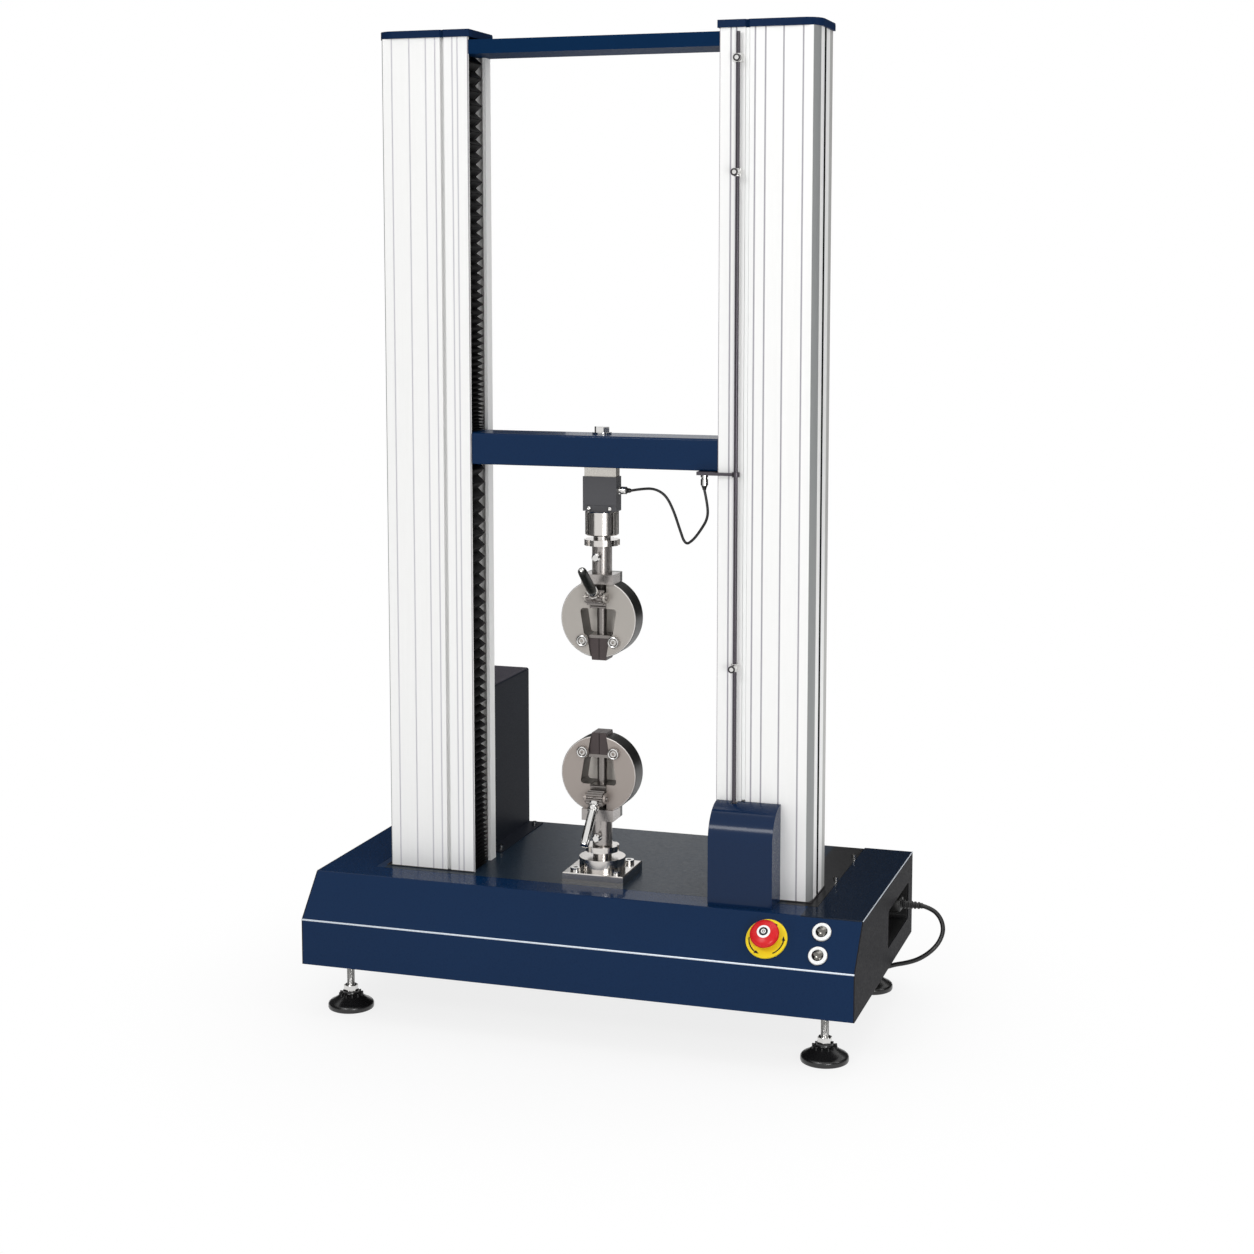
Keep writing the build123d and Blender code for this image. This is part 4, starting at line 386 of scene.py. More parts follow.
# The box top above 469.7 mm is painted lighter than its sides: painted light on the top face.
box_paint = material(
    "motor_box_paint", (33, 36, 43), 0.45, specular=0.02, grain=420, bump=0.06,
    tones=(((60, 58, 65), (("Z", 0.4697, None),)),),
)
stop_yellow = material(
    "stop_yellow", (240, 214, 40), 0.38, specular=0.2, variation=0.03, grain=900, bump=0.08,
)
stop_red = material(
    "stop_red", (205, 24, 30), 0.28, specular=0.3, variation=0.05, grain=900, bump=0.05,
)
inlet_plastic = material("inlet_plastic", (22, 22, 23), 0.42, grain=1000, bump=0.2)
cord_rubber = material("cord_rubber", (17, 17, 18), 0.36, variation=0.12, grain=1100, bump=0.15)
white_mark = material("white_mark", (240, 241, 240), 0.35, variation=0.02, grain=900, bump=0.05)
dark_print_and_gap_shade = material("dark_print_and_gap_shade", (26, 24, 30), 0.45, specular=0.2, grain=900, bump=0.05)
# Pale finish of the strips that paint highlights on the front bend and the right end's edge.
edge_highlight_paint = material(
    "edge_highlight_paint", (196, 204, 214), 0.3, metallic=0.2, variation=0.04, grain=500, bump=0.05,
)

slot_materials = {
    "blue_paint": blue,
    "charcoal_paint": charcoal,
    "bed_metal": bed_metal,
    "cap_plastic": cap_plastic,
    "column_aluminium": aluminium,
    "machined_steel": machined,
    "jaw_steel": jaw_steel,
    "cell_aluminium": cell_aluminium,
    "cell_cover_plastic": cell_cover,
    "bright_steel": bright,
    "lever_black": lever_black,
    "foot_rubber": rubber,
    "belt_rubber": belt_rubber,
    "bellows_fabric": bellows_cloth,
    "motor_black": motor_black,
    "stop_yellow": stop_yellow,
    "stop_red": stop_red,
    "inlet_plastic": inlet_plastic,
    "cord_rubber": cord_rubber,
}
for row in frame["record"]["subparts"]:
    for place in nodes[row["node"]].material_slots:
        place.material = slot_materials[row["material_slot"]]
for name, mat in (
    ("upper_grip_body", upper_disc),
    ("lower_grip_body", shaded_lower_disc),
    ("motor_box", box_paint),
    ("hood", hood_blue),
    ("top_beam", beam_blue),
    ("jog_button_up", button_steel),
    ("jog_button_down", button_steel),
    ("upper_yoke", yoke_steel),
    ("lower_yoke", yoke_steel),
    ("upper_slider", rack_steel),
    ("lower_slider", rack_steel),
    ("upper_lever", rack_steel),
    ("lower_lever", rack_steel),
    ("limit_rod", rod_steel),
    ("upper_stop", bright),
    ("lower_stop", bright),
    ("striker_arm", rod_steel),
):
    for place in nodes[name].material_slots:
        place.material = mat


# Mesh helpers
def finish_mesh(name, bm, mat, body, sharp=32):
    """Object from a bmesh, smooth but for its sharp edges, riding on a body."""
    bmesh.ops.recalc_face_normals(bm, faces=bm.faces)
    for face in bm.faces:
        face.smooth = True
    for edge in bm.edges:
        if len(edge.link_faces) == 2 and edge.calc_face_angle(0) > radians(sharp):
            edge.smooth = False
    mesh = bpy.data.meshes.new(name)
    bm.to_mesh(mesh)
    bm.free()
    mesh.materials.append(mat)
    piece = bpy.data.objects.new(name, mesh)
    scene.collection.objects.link(piece)
    if body:
        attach(piece, body)
    return piece


def turned(bm, profile, origin, axis=(0, 0, 1), steps=40, flutes=0, flute_depth=0.0):
    """Turned form: (radius, height) in mm along an axis from an origin in metres."""
    up = Vector(axis).normalized()
    side = up.orthogonal().normalized()
    other = up.cross(side)
    rings = []
    for radius, height in profile:
        centre = Vector(origin) + up * height * mm
        if radius == 0:
            rings.append([bm.verts.new(centre)])
            continue
        ring = []
        for step in range(steps):
            angle = 2 * pi * step / steps
            reach = radius
            if flutes:
                reach -= flute_depth * (0.5 + 0.5 * cos(flutes * angle))
            ring.append(bm.verts.new(centre + (side * cos(angle) + other * sin(angle)) * reach * mm))
        rings.append(ring)
    for low, high in zip(rings, rings[1:]):
        if len(low) == 1 and len(high) == 1:
            continue
        for step in range(steps):
            after = (step + 1) % steps
            if len(low) == 1:
                bm.faces.new((low[0], high[after], high[step]))
            elif len(high) == 1:
                bm.faces.new((low[step], low[after], high[0]))
            else:
                bm.faces.new((low[step], low[after], high[after], high[step]))


def threads(radius, root, start, end, pitch):
    """Profile of a screw thread between two heights, in mm."""
    profile = []
    count = int((end - start) / pitch)
    for index in range(count):
        level = start + index * pitch
        profile += [(root, level), (radius, level + pitch * 0.42), (radius, level + pitch * 0.58)]
    profile.append((root, start + count * pitch))
    return profile


def block(bm, low, high, bevel, segments=3, rotation=None, pivot=None):
    """Box with rounded edges between two corners in mm."""
    matrix = Matrix.Translation([(a + b) / 2 * mm for a, b in zip(low, high)])
    size = [(b - a) * mm for a, b in zip(low, high)]
    made = bmesh.ops.create_cube(bm, size=1)["verts"]
    bmesh.ops.scale(bm, vec=size, verts=made)
    edges = {edge for vert in made for edge in vert.link_edges}
    if bevel:
        made = bmesh.ops.bevel(
            bm, geom=list(edges), offset=bevel * mm, segments=segments, affect="EDGES", profile=0.5,
        )["verts"]
        made = list(set(made))
    bmesh.ops.transform(bm, matrix=matrix, verts=made)
    if rotation:
        bmesh.ops.rotate(bm, cent=pivot, matrix=rotation, verts=made)
    return made


def prism(bm, points, normal, depth):
    """Flat outline in metres, thickened along a normal by a depth in mm."""
    push = Vector(normal) * depth * mm
    low = [bm.verts.new(p) for p in points]
    high = [bm.verts.new(Vector(p) + push) for p in points]
    bm.faces.new(low)
    bm.faces.new(list(reversed(high)))
    for index in range(len(points)):
        after = (index + 1) % len(points)
        bm.faces.new((low[index], high[index], high[after], low[after]))


# Cords
def spline_cord(name, points, diameter, resolution):
    """Round cord on one open quadratic spline with control points in mm and a diameter in metres."""
    curve = bpy.data.curves.new(name, "CURVE")
    curve.dimensions = "3D"
    curve.resolution_u = resolution
    curve.bevel_depth = diameter / 2
    curve.bevel_resolution = 4
    curve.use_fill_caps = True
    line = curve.splines.new("NURBS")
    line.points.add(len(points) - 1)
    for place, point in zip(line.points, points):
        place.co = (point[0] * mm, point[1] * mm, point[2] * mm, 1)
    line.order_u = 3
    line.use_endpoint_u = True
    curve.materials.append(cord_rubber)
    piece = bpy.data.objects.new(name, curve)
    scene.collection.objects.link(piece)
    return piece


exit_x, exit_y, exit_z = 455.3, 142.0, 147.5
mains_route = [
    (exit_x + x, exit_y + y, exit_z + z)
    for x, y, z in (
        (0, 0, 0), (16, 0, -3.5), (30, -4, -16), (35.5, -11, -32), (31, -19, -48),
        (20, -26, -62), (2, -31, -75), (-17, -34, -82), (-36, -36, -86), (-58, -41, -94),
        (-80, -48, -107), (-102, -57, -122), (-126, -66, -136), (-152, -73, -143.2),
        (-177, -74.5, -143.5), (-202, -75.3, -143.5),
    )
]
coil_x, coil_y = 235.0, 115.7
lower_layer, upper_layer = 3.75, 10.9
turn_radii = (49, 42, 35, 28, 28, 35, 42)
turn_levels = (lower_layer,) * 4 + (upper_layer,) * 3
turns = 6.25
turn_steps = 16
change_start = 0.82
spline_shrink = 0.985
coil_points = []
for step in range(1, int(turns * turn_steps) + 1):
    turn, part = divmod(step / turn_steps, 1)
    turn = int(turn)
    blend = max(0.0, (part - change_start) / (1 - change_start))
    blend = blend * blend * (3 - 2 * blend)
    after = min(turn + 1, len(turn_radii) - 1)
    reach = (turn_radii[turn] * (1 - blend) + turn_radii[after] * blend) / spline_shrink
    level = turn_levels[turn] * (1 - blend) + turn_levels[after] * blend
    angle = -pi / 2 - 2 * pi * step / turn_steps
    coil_points.append((coil_x + reach * cos(angle), coil_y + reach * sin(angle), level))
plug_x = 193
plug_neck_y = 154.8
mains_points = mains_route + [(coil_x, coil_y - turn_radii[0], lower_layer)] + coil_points
mains_points += [(plug_x, 128, upper_layer), (plug_x, 142, 10.2), (plug_x, plug_neck_y + 2, 9)]
mains_cord = spline_cord("mains_lead", mains_points, 0.007, 6)
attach(mains_cord, "machine")
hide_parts("mains_cord", "mains_coil")

# Plug of the mains lead and the connector in the inlet
bm = bmesh.new()
block(bm, (180.4, 166.8, 0.3), (205.6, 200.8, 17.7), 4.2, 4)
turned(
    bm,
    [
        (0, -0.5), (6.0, -0.5), (6.2, 1), (5.2, 2.5), (6.2, 4), (5.2, 5.5), (6.2, 7), (5.4, 8.5),
        (6.2, 10), (6.2, 13), (0, 13),
    ],
    (plug_x * mm, plug_neck_y * mm, 9 * mm), (0, 1, 0), 24,
)
for x in (181.2, 204.8):
    for y in (176, 180, 184, 188, 192):
        block(bm, (x - 0.9, y - 1.1, 5), (x + 0.9, y + 1.1, 13), 0.4, 1)
mains_plug = finish_mesh("mains_lead_plug", bm, inlet_plastic, "machine")
bm = bmesh.new()
for x in (186.6, 199.4):
    block(bm, (x - 0.8, 199, 5.8), (x + 0.8, 217.6, 12.2), 0.5, 2)
plug_blades = finish_mesh("mains_lead_blades", bm, bright, "machine")
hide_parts("mains_plug")

bm = bmesh.new()
block(bm, (397.5, 128.5, 137.5), (423.3, 155.5, 157.5), 3.0, 3)
block(bm, (404, 127.9, 141.5), (420, 156.1, 153.5), 1.5, 2)
rib_radius = 6.9
rib_taper = 0.36
rib_pitch = 5.6
relief_profile = [(0, 421), (8.2, 421), (8.4, 423), (rib_radius, 424.4)]
for index in range(5):
    start = 425.6 + index * rib_pitch
    reach = rib_radius - index * rib_taper
    relief_profile += [
        (reach - 1.3, start), (reach, start + 0.5), (reach - 0.1, start + 3.2),
        (reach - 1.4, start + 3.8),
    ]
relief_profile += [(4.5, 454), (4.3, 455.6), (0, 455.6)]
turned(bm, relief_profile, (0, exit_y * mm, exit_z * mm), (1, 0, 0), 28)
inlet_plug = finish_mesh("appliance_connector", bm, inlet_plastic, "machine")
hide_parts("inlet_plug")

cable_x, cable_y, cable_z = 45.2, load_y, 799.7
cable_points = [
    (cable_x + x, cable_y + y, cable_z + z)
    for x, y, z in (
        (0, 0, 0), (18, -1, 3.4), (38, -4, 4.6), (56, -7, -4), (69, -11, -25), (79, -14, -51),
        (89, -17, -76), (102, -21, -68), (115, -25, -52), (127, -29, -33), (127.2, -33, -12),
        (122.7, -34, 8.6),
    )
]
signal_cable = spline_cord("load_cell_cable", cable_points, 0.004, 10)
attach(signal_cable, "crosshead_assembly")
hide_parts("signal_cable")

# Plugs of the load-cell cable
cell_socket = (0, cable_y * mm, cable_z * mm)
arm_socket = (167.9 * mm, -90 * mm, 831.3 * mm)
bm = bmesh.new()
turned(
    bm,
    [
        (0, 26.2), (6, 26.2), (6, 27.6), (4.6, 28.2), (4.6, 30.4), (5.9, 31), (6, 32), (6, 37),
        (5.7, 38.2), (0, 38.2),
    ],
    cell_socket, (1, 0, 0), 48,
)
turned(
    bm,
    [(0, 0), (5.4, 0), (5.4, 4.6), (4.4, 5.2), (4.4, 7.4), (5.4, 8), (5.4, 16.4), (5, 17), (0, 17)],
    arm_socket, (0, 0, -1), 48,
)
cable_shells = finish_mesh("cable_plug_shells", bm, bright, "crosshead_assembly")
bm = bmesh.new()
turned(
    bm,
    [
        (0, 38), (4.2, 38), (4.2, 40), (3.4, 40.6), (3.9, 41.2), (3.2, 42.2), (3.6, 43), (2.7, 45.4),
        (0, 45.4),
    ],
    cell_socket, (1, 0, 0), 24,
)
turned(
    bm,
    [
        (0, 16.8), (4.2, 16.8), (4.2, 18.6), (3.4, 19.2), (3.8, 19.8), (3.1, 20.8), (2.7, 23.2),
        (0, 23.2),
    ],
    arm_socket, (0, 0, -1), 24,
)
cable_boots = finish_mesh("cable_plug_boots", bm, cord_rubber, "crosshead_assembly")
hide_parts("cable_plugs")


# Levelling feet
bell = [
    (0, 0), (33, 0), (34.4, 0.8), (35, 2.4), (35, 6.4), (34.4, 8.4), (32.6, 10.2), (28, 12.6),
    (22.5, 16), (17.6, 20), (14.6, 22.8), (13, 23.4), (12.4, 24.4), (12.2, 27.2), (11.4, 28), (0, 28),
]
rib_count = 12
nut_corner = 10.9
nut_height = 7.4
bm = bmesh.new()
studs = bmesh.new()
for x in (-foot_x, foot_x):
    for y in (-foot_y, foot_y):
        foot = (x * mm, y * mm, 0)
        turned(bm, bell, foot, (0, 0, 1), 48)
        for index in range(rib_count):
            turn = Matrix.Rotation(2 * pi * index / rib_count, 3, "Z")
            block(bm, (x + 11.5, y - 0.8, 14), (x + 18.6, y + 0.8, 24.2), 0.5, 1, turn, foot)
        hexagon = []
        for k in range(6):
            angle = pi / 6 + pi / 3 * k
            corner_x = x * mm + nut_corner * mm * cos(angle)
            corner_y = y * mm + nut_corner * mm * sin(angle)
            hexagon.append((corner_x, corner_y, foot_nut_z * mm))
        prism(studs, hexagon, (0, 0, 1), nut_height)
        turned(studs, [(0, 35.2), (9.2, 35.4), (8.8, 36.2), (6.4, 36.4), (0, 36.4)], foot, (0, 0, 1), 36)
        turned(
            studs, [(0, 36)] + threads(6.0, 5.3, 36.2, 79.5, 1.75) + [(5.3, 81.5), (0, 81.5)],
            foot, (0, 0, 1), 28,
        )
feet_rubber = finish_mesh("foot_bells", bm, rubber, "machine")
feet_studs = finish_mesh("foot_studs", studs, bright, "machine", 50)
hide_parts("levelling_feet")


# Bellows
crest_x = 191.9
valley_x = 202.2
fold_round = 0.35
fold_growth = 5
cloth_y = -96.4
cloth_width = 50.4
cloth_thickness = 0.7


def pleats(name, low, high, count, node):
    """Pair of pleated cloth strips between two heights, which replace a bellows of the model."""
    steps = [1 + fold_growth * index / (2 * count - 1) for index in range(2 * count)]
    total = sum(steps)
    levels = [low]
    for step in steps:
        levels.append(levels[-1] + (high - low) * step / total)
    line = []
    for index, level in enumerate(levels):
        crest = index % 2 == 1
        outer = crest_x if crest else valley_x
        inner = fold_round if crest else -fold_round
        gap = (levels[min(index + 1, len(levels) - 1)] - levels[max(index - 1, 0)]) / 2
        if 0 < index < len(levels) - 1:
            line.append((outer + inner, level - gap * 0.06))
            line.append((outer + inner, level + gap * 0.06))
        else:
            line.append((outer, level))
    rows = 5
    bm = bmesh.new()
    for side in (-1, 1):
        grid = []
        for x, z in line:
            row = []
            for k in range(rows):
                y = cloth_y + cloth_width * k / (rows - 1)
                row.append(bm.verts.new((side * x * mm, y * mm, z * mm)))
            grid.append(row)
        for lower, upper in zip(grid, grid[1:]):
            for k in range(rows - 1):
                bm.faces.new((lower[k], lower[k + 1], upper[k + 1], upper[k]))
    piece = finish_mesh(name, bm, bellows_cloth, None, 25)
    thick = piece.modifiers.new("cloth", "SOLIDIFY")
    thick.thickness = cloth_thickness * mm
    thick.offset = 0
    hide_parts(node)
    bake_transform(piece)


pleats(
    "upper_pleats", 883.6, 1439.0, 45, "upper_bellows",
)
pleats(
    "lower_pleats", 210.6, 835.8, 52, "lower_bellows",
)


# Lever handles
upper_pivot = (0, -0.087, 0.6414)
lower_pivot = (0, -0.087, 0.3371)
upper_tilt = radians(52)
lower_tilt = radians(42.7)
upper_dir = (0, -sin(upper_tilt), cos(upper_tilt))
lower_dir = (0, -sin(lower_tilt), -cos(lower_tilt))
collar_profile = [
    (6.2, 8.5), (8.6, 9), (8.6, 12.5), (8.1, 13.2), (8.6, 14), (8.6, 20), (8.0, 22.4), (6.2, 22.6),
]
bm = bmesh.new()
turned(
    bm,
    [
        (0, 22), (6.9, 22), (7.2, 23.5), (7.3, 40), (7.0, 60), (6.7, 74), (6.2, 78.4), (5.0, 80.6),
        (3.4, 81.2), (0, 81.2),
    ],
    upper_pivot, upper_dir, 40,
)
finish_mesh("upper_lever_sleeve", bm, lever_black, "upper_lever_body")
bm = bmesh.new()
turned(bm, [(0, 80), (3.3, 80.8), (3.3, 81.7), (2.6, 82.1), (0, 82.2)], upper_pivot, upper_dir, 24)
turned(bm, collar_profile, upper_pivot, upper_dir, 40)
finish_mesh("upper_lever_fitting", bm, bright, "upper_lever_body")
bm = bmesh.new()
turned(
    bm, [(0, 22), (6.8, 22), (7.0, 24), (7.0, 70), (6.9, 78.6), (6.2, 80.4), (5.0, 81), (0, 81)],
    lower_pivot, lower_dir, 48, flutes=8, flute_depth=0.55,
)
turned(bm, collar_profile, lower_pivot, lower_dir, 40)
finish_mesh("lower_lever_sleeve", bm, bright, "lower_lever_body")


# Retainer screws on the grips
grips = (
    ("upper", upper_retainer_z, upper_grip_z, "crosshead_assembly"),
    ("lower", lower_retainer_z, lower_grip_z, "machine"),
)
for name, z, _, body in grips:
    bm = bmesh.new()
    for x in (-retainer_x, retainer_x):
        front = (x * mm, retainer_y * mm, z * mm)
        turned(bm, [(6.0, 0), (6.3, 0.9), (7.1, 1.2), (8.0, 0.9), (8.3, 0)], front, (0, -1, 0), 40)
        turned(bm, [(2.6, 0), (2.8, 0.5), (3.6, 0.6), (4.2, 0.4), (4.4, 0)], front, (0, -1, 0), 32)
    finish_mesh(name + "_retainer_rings", bm, bright, body)
# Thin dark rings in the gaps around the retainer screws are painted shade; their finish is also used for
# the stop rims and column gaskets.
for name, z, _, body in grips:
    bm = bmesh.new()
    for x in (-retainer_x, retainer_x):
        front = (x * mm, retainer_y * mm, z * mm)
        seat = (x * mm, grip_face_y * mm, z * mm)
        turned(bm, [(5.4, -0.2), (5.4, 0.18), (6.2, 0.18), (6.2, -0.2)], front, (0, -1, 0), 40)
        turned(bm, [(8.0, 0.1), (8.0, 4.7), (8.6, 4.7), (8.6, 0.1)], seat, (0, -1, 0), 40)
    finish_mesh(name + "_retainer_gap_shade", bm, black_trim_and_gap_shade, body)

# Plates that close the backs of the grip windows
for name, _, z, body in grips:
    bm = bmesh.new()
    turned(bm, [(0, 0), (52, 0), (52, 0.9), (0, 0.9)], (0, -39.4 * mm, z * mm), (0, 1, 0), 72)
    finish_mesh(name + "_back_plate", bm, back_steel, body)

# Screws of the load cell's guard
bm = bmesh.new()
for x in (-16.3, 16.3):
    turned(
        bm, [(3.1, -1.2), (3.3, 0), (3.3, 0.7), (2.8, 1.3), (1.8, 1.7), (1.7, 1.0), (0, 1.0)],
        (x * mm, -69.4 * mm, 772.8 * mm), (0, -1, 0), 32,
    )
finish_mesh("cell_cover_screws", bm, bright, "crosshead_assembly")

# Dark rims of the stops' thumb screws and of the upper rod guide's screw
for name, y, z, body in (
    ("upper_stop_rim", stop_screw_y, 1262.2, "upper_stop_body"),
    ("lower_stop_rim", stop_screw_y, 553.2, "lower_stop_body"),
    ("rod_guide_rim", guide_screw_y, 1421.2, "machine"),
):
    bm = bmesh.new()
    turned(
        bm,
        [(3.0, -0.3), (3.0, 0.2), (4.9, 0.25), (5.3, 0.1), (5.3, -1.6), (5.0, -1.6), (5.0, -0.3)],
        (rod_x * mm, y * mm, z * mm), (0, -1, 0), 36,
    )
    finish_mesh(name, bm, black_trim_and_gap_shade, body)

# Cover strip in the front slot of the right column and gaskets under both columns
bm = bmesh.new()
block(bm, (229.3, -101.8, 356.0), (234.9, -100.6, 1463.6), 0.3, 1)
finish_mesh("slot_cover", bm, white_mark, "machine")
bm = bmesh.new()
for side in (-1, 1):
    for x0, x1, y0, y1 in (
        (190.6, 334.6, -103.3, -101.8), (333.6, 335.3, -103.0, -9.6), (200.0, 334.6, -10.9, -9.4),
    ):
        left, right = sorted((side * x0, side * x1))
        block(bm, (left, y0, 210.1), (right, y1, 211.7), 0.3, 1)
finish_mesh("column_gaskets", bm, black_trim_and_gap_shade, "machine")


# Emergency stop and jog buttons on the slanted panel
panel_normal = Vector((0, -0.7397, 0.6729))
panel_up = Vector((0, 0.6729, 0.7397))
estop_centre = Vector((291.5, -192.4, 179.6)) * mm
head_crown = 26.6
dome_radius = 46.0


def dome(radius):
    """Height of the stop head's dome above the panel at a radius, in mm."""
    return head_crown - (dome_radius - sqrt(dome_radius ** 2 - radius ** 2))


def dome_ring(bm, inner, outer, rise):
    """Thin ring that follows the dome."""
    count = 4
    profile = [(inner, dome(inner) - 0.2)]
    for index in range(count + 1):
        radius = inner + (outer - inner) * index / count
        profile.append((radius, dome(radius) + rise))
    profile.append((outer, dome(outer) - 0.2))
    turned(bm, profile, estop_centre, panel_normal, 40)


bm = bmesh.new()
head_profile = [
    (0, 10.5), (11.5, 10.5), (12.2, 12.2), (15.5, 13.6), (19.6, 14.2), (20.8, 15.2), (21.2, 17.0),
    (21.0, 19.6), (20.0, 21.3),
]
for radius in (18.6, 16.0, 12.0, 8.0, 4.0, 0):
    head_profile.append((radius, dome(radius)))
turned(bm, head_profile, estop_centre, panel_normal, 64)
stop_head = finish_mesh("stop_head", bm, stop_red, "estop_head_body", 40)
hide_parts("estop_head")

bm = bmesh.new()
dome_ring(bm, 6.4, 9.6, 0.12)
dome_ring(bm, 0.0, 1.2, 0.14)
dome_ring(bm, 2.2, 3.6, 0.14)
finish_mesh("stop_head_ring", bm, white_mark, "estop_head_body")
bm = bmesh.new()
dome_ring(bm, 0.0, 6.4, 0.08)
finish_mesh("stop_head_centre", bm, dark_print_and_gap_shade, "estop_head_body")


def panel_point(centre, across, up, rise):
    """Point on the slanted panel from its offsets in mm."""
    return centre + (Vector((1, 0, 0)) * across + panel_up * up + panel_normal * rise) * mm


disc_level = 2.45
mark_depth = 0.2
arc_span = 58
tip_span = 74
arc_steps = 8


def disc_point(radius, degrees):
    """Point on the stop's legend disc."""
    angle = radians(degrees)
    return panel_point(estop_centre, radius * cos(angle), radius * sin(angle), disc_level)


bm = bmesh.new()
for start in (-60, 60, 180):
    turns_made = [start + arc_span * index / arc_steps for index in range(arc_steps + 1)]
    points_in = [disc_point(24.2, turn) for turn in turns_made]
    points_out = [disc_point(26.0, turn) for turn in reversed(turns_made)]
    prism(bm, points_in + points_out, panel_normal, mark_depth)
    tip = [
        disc_point(22.6, start + arc_span), disc_point(25.1, start + tip_span),
        disc_point(27.6, start + arc_span),
    ]
    prism(bm, tip, panel_normal, mark_depth)
finish_mesh("stop_disc_arrows", bm, dark_print_and_gap_shade, "machine")

button_x = 368.8
button_run = 41.0
button_spacing = 18.3
bend_point = Vector((0, -220, 149.3)) * mm
bm = bmesh.new()
# Dark rings in the gap round each button and round the foot of each white ring are painted shade; their
# dark finish is also the print on the stop head.
dark = bmesh.new()
for slope in (button_run + button_spacing, button_run - button_spacing):
    centre = bend_point + Vector((button_x * mm, 0, 0)) + panel_up * slope * mm
    turned(
        bm,
        [
            (8.3, 2.6), (8.5, 3.5), (9.2, 4.0), (12.4, 4.0), (13.3, 3.4), (13.5, 2.4), (13.5, 0.1),
            (8.3, 0.1),
        ],
        centre, panel_normal, 48,
    )
    turned(dark, [(7.7, 3.0), (8.3, 3.3), (8.35, 2.8), (7.7, 2.8)], centre, panel_normal, 40)
    turned(dark, [(13.4, 0.1), (13.4, 0.6), (14.1, 0.6), (14.1, 0.1)], centre, panel_normal, 48)
finish_mesh("jog_rings", bm, white_mark, "machine")
finish_mesh("jog_gap_shade", dark, dark_print_and_gap_shade, "machine")


# Painted highlights: pale strips along the front bend and along the top edge of the right end
line_radius = 4.16
line_steps = 6
bm = bmesh.new()
rows = []
for index in range(line_steps + 1):
    angle = radians(2 + 34 * index / line_steps)
    y = -216 - line_radius * cos(angle)
    z = 147.75 + line_radius * sin(angle)
    rows.append([bm.verts.new((x * mm, y * mm, z * mm)) for x in (-424.4, -212, 0, 212, 424.4)])
for low, high in zip(rows, rows[1:]):
    for k in range(len(low) - 1):
        bm.faces.new((low[k], low[k + 1], high[k + 1], high[k]))
finish_mesh("bend_highlight", bm, edge_highlight_paint, "machine")

bm = bmesh.new()
turned(
    bm, [(0, -164.6), (0.75, -164.6), (0.75, 219.5), (0, 219.5)],
    (end_x * mm, 0, 209.85 * mm), (0, 1, 0), 12,
)
finish_mesh("end_edge_highlight", bm, edge_highlight_paint, "machine")


# Stage: pale floor, white surroundings and soft lamps
bm = bmesh.new()
bmesh.ops.create_grid(bm, x_segments=1, y_segments=1, size=40)
floor_mesh = bpy.data.meshes.new("floor")
bm.to_mesh(floor_mesh)
bm.free()
floor = bpy.data.objects.new("floor", floor_mesh)
scene.collection.objects.link(floor)
floor_mat = bpy.data.materials.new("floor")
floor_mat.use_nodes = True
tree = floor_mat.node_tree
tree.nodes.clear()
floor_out = tree.nodes.new("ShaderNodeOutputMaterial")
paper = tree.nodes.new("ShaderNodeBsdfDiffuse")
paper.inputs["Color"].default_value = (0.9, 0.9, 0.9, 1)
glow = tree.nodes.new("ShaderNodeEmission")
glow.inputs["Strength"].default_value = 1.0
rays = tree.nodes.new("ShaderNodeLightPath")
seen = combine(tree, "MAXIMUM", rays.outputs["Is Camera Ray"], rays.outputs["Is Glossy Ray"])
spot = tree.nodes.new("ShaderNodeTexCoord")
away = tree.nodes.new("ShaderNodeVectorMath")
away.operation = "LENGTH"
tree.links.new(spot.outputs["Object"], away.inputs[0])
whiten = tree.nodes.new("ShaderNodeMapRange")
whiten.interpolation_type = "SMOOTHSTEP"
whiten.inputs["From Min"].default_value = 0.35
whiten.inputs["From Max"].default_value = 0.85
whiten.inputs["To Min"].default_value = 0.82
whiten.inputs["To Max"].default_value = 1.0
tree.links.new(away.outputs["Value"], whiten.inputs["Value"])
share = combine(tree, "MULTIPLY", seen, whiten.outputs["Result"])
blend_node = tree.nodes.new("ShaderNodeMixShader")
tree.links.new(share, blend_node.inputs["Fac"])
tree.links.new(paper.outputs["BSDF"], blend_node.inputs[1])
tree.links.new(glow.outputs["Emission"], blend_node.inputs[2])
tree.links.new(blend_node.outputs["Shader"], floor_out.inputs["Surface"])
floor_mesh.materials.append(floor_mat)

world = bpy.data.worlds.new("world")
scene.world = world
world.use_nodes = True
tree = world.node_tree
tree.nodes.clear()
world_out = tree.nodes.new("ShaderNodeOutputWorld")
around = tree.nodes.new("ShaderNodeBackground")
around.inputs["Color"].default_value = (1, 1, 1, 1)
around.inputs["Strength"].default_value = 0.6
backdrop = tree.nodes.new("ShaderNodeBackground")
backdrop.inputs["Color"].default_value = (1, 1, 1, 1)
backdrop.inputs["Strength"].default_value = 1.0
rays = tree.nodes.new("ShaderNodeLightPath")
seen = combine(tree, "MAXIMUM", rays.outputs["Is Camera Ray"], rays.outputs["Is Glossy Ray"])
seen = combine(tree, "MAXIMUM", seen, rays.outputs["Is Transmission Ray"])
chosen = tree.nodes.new("ShaderNodeMixShader")
tree.links.new(seen, chosen.inputs["Fac"])
tree.links.new(around.outputs["Background"], chosen.inputs[1])
tree.links.new(backdrop.outputs["Background"], chosen.inputs[2])
tree.links.new(chosen.outputs["Shader"], world_out.inputs["Surface"])


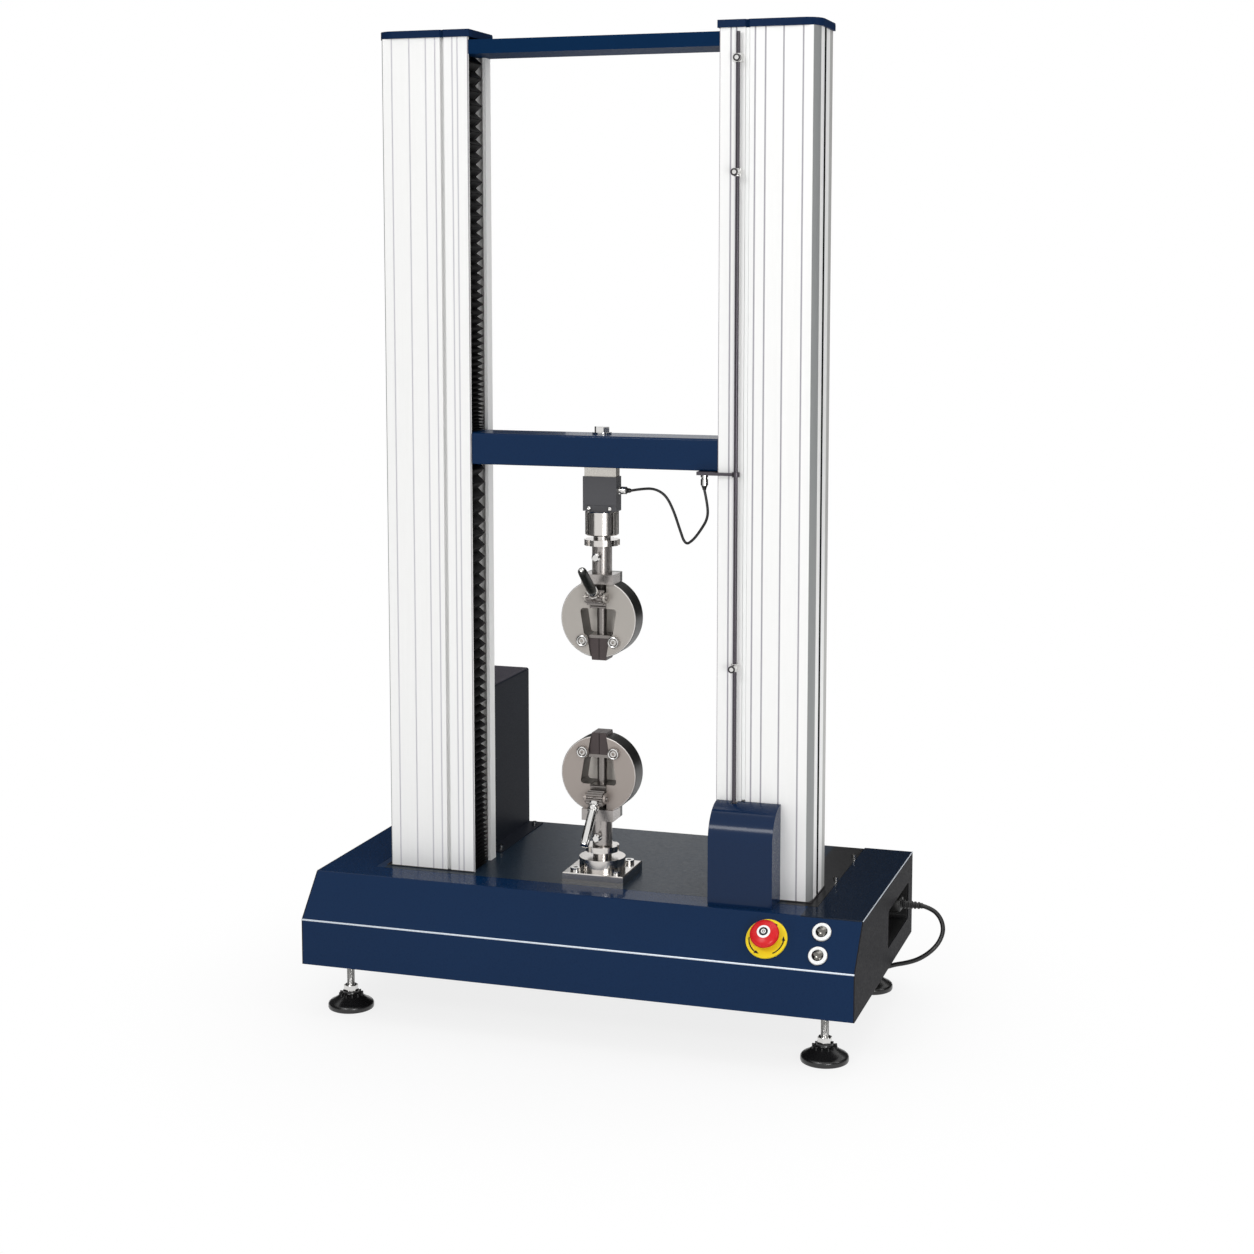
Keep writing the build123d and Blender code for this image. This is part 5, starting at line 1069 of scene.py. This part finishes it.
def lamp(name, place, target, width, height, power):
    """Rectangular soft lamp aimed at a point."""
    data = bpy.data.lights.new(name, "AREA")
    data.shape = "RECTANGLE"
    data.size = width
    data.size_y = height
    data.energy = power
    unit = bpy.data.objects.new(name, data)
    scene.collection.objects.link(unit)
    unit.location = place
    unit.rotation_euler = (Vector(target) - Vector(place)).to_track_quat("-Z", "Y").to_euler()
    unit.visible_camera = False


lamp("key", (-0.85, -3.9, 2.8), (0.1, 0, 0.6), 1.3, 0.8, 36)
lamp("wide", (-2.6, -3.2, 3.4), (0, 0, 0.7), 2.4, 2.4, 8)
lamp("top", (0.4, 0.6, 4.2), (0, 0, 0.2), 3.0, 3.0, 45)
lamp("fill", (1.9, -2.9, 0.75), (0.1, 0, 0.5), 0.7, 0.7, 24)
lamp("side", (3.2, -0.4, 1.8), (0, 0, 0.7), 1.2, 1.8, 15)


def flag(name, place, target, width, height):
    """Dark card beside the set, seen by reflections only."""
    bm = bmesh.new()
    bmesh.ops.create_grid(bm, x_segments=1, y_segments=1, size=0.5)
    mesh = bpy.data.meshes.new(name)
    bm.to_mesh(mesh)
    bm.free()
    card = bpy.data.objects.new(name, mesh)
    scene.collection.objects.link(card)
    mesh.materials.append(flag_black)
    card.scale = (width, height, 1)
    card.location = place
    card.rotation_euler = (Vector(target) - Vector(place)).to_track_quat("-Z", "Y").to_euler()
    card.visible_camera = False
    card.visible_diffuse = False
    card.visible_shadow = False
    card.visible_transmission = False


flag_black = bpy.data.materials.new("flag_black")
flag_black.use_nodes = True
tree = flag_black.node_tree
tree.nodes.clear()
flag_out = tree.nodes.new("ShaderNodeOutputMaterial")
flag_glow = tree.nodes.new("ShaderNodeEmission")
flag_glow.inputs["Color"].default_value = (0.05, 0.05, 0.05, 1)
tree.links.new(flag_glow.outputs["Emission"], flag_out.inputs["Surface"])
flag("left_flag", (-3.4, 0.2, 1.2), (0, 0.2, 1.2), 8.0, 3.8)
flag("right_flag", (3.4, 1.8, 1.2), (0, 1.8, 1.2), 5.2, 3.8)
flag("back_left_flag", (-2.6, 4.6, 1.2), (-2.6, 0, 1.2), 1.8, 3.8)
flag("back_right_flag", (1.3, 4.6, 1.2), (1.3, 0, 1.2), 4.4, 3.8)
flag("front_left_flag", (-2.9, -2.3, 1.2), (0, 0, 1.2), 2.2, 3.8)
flag("front_right_flag", (3.3, -1.2, 1.2), (0, 0, 1.2), 2.2, 3.8)

scene.view_settings.view_transform = "Standard"
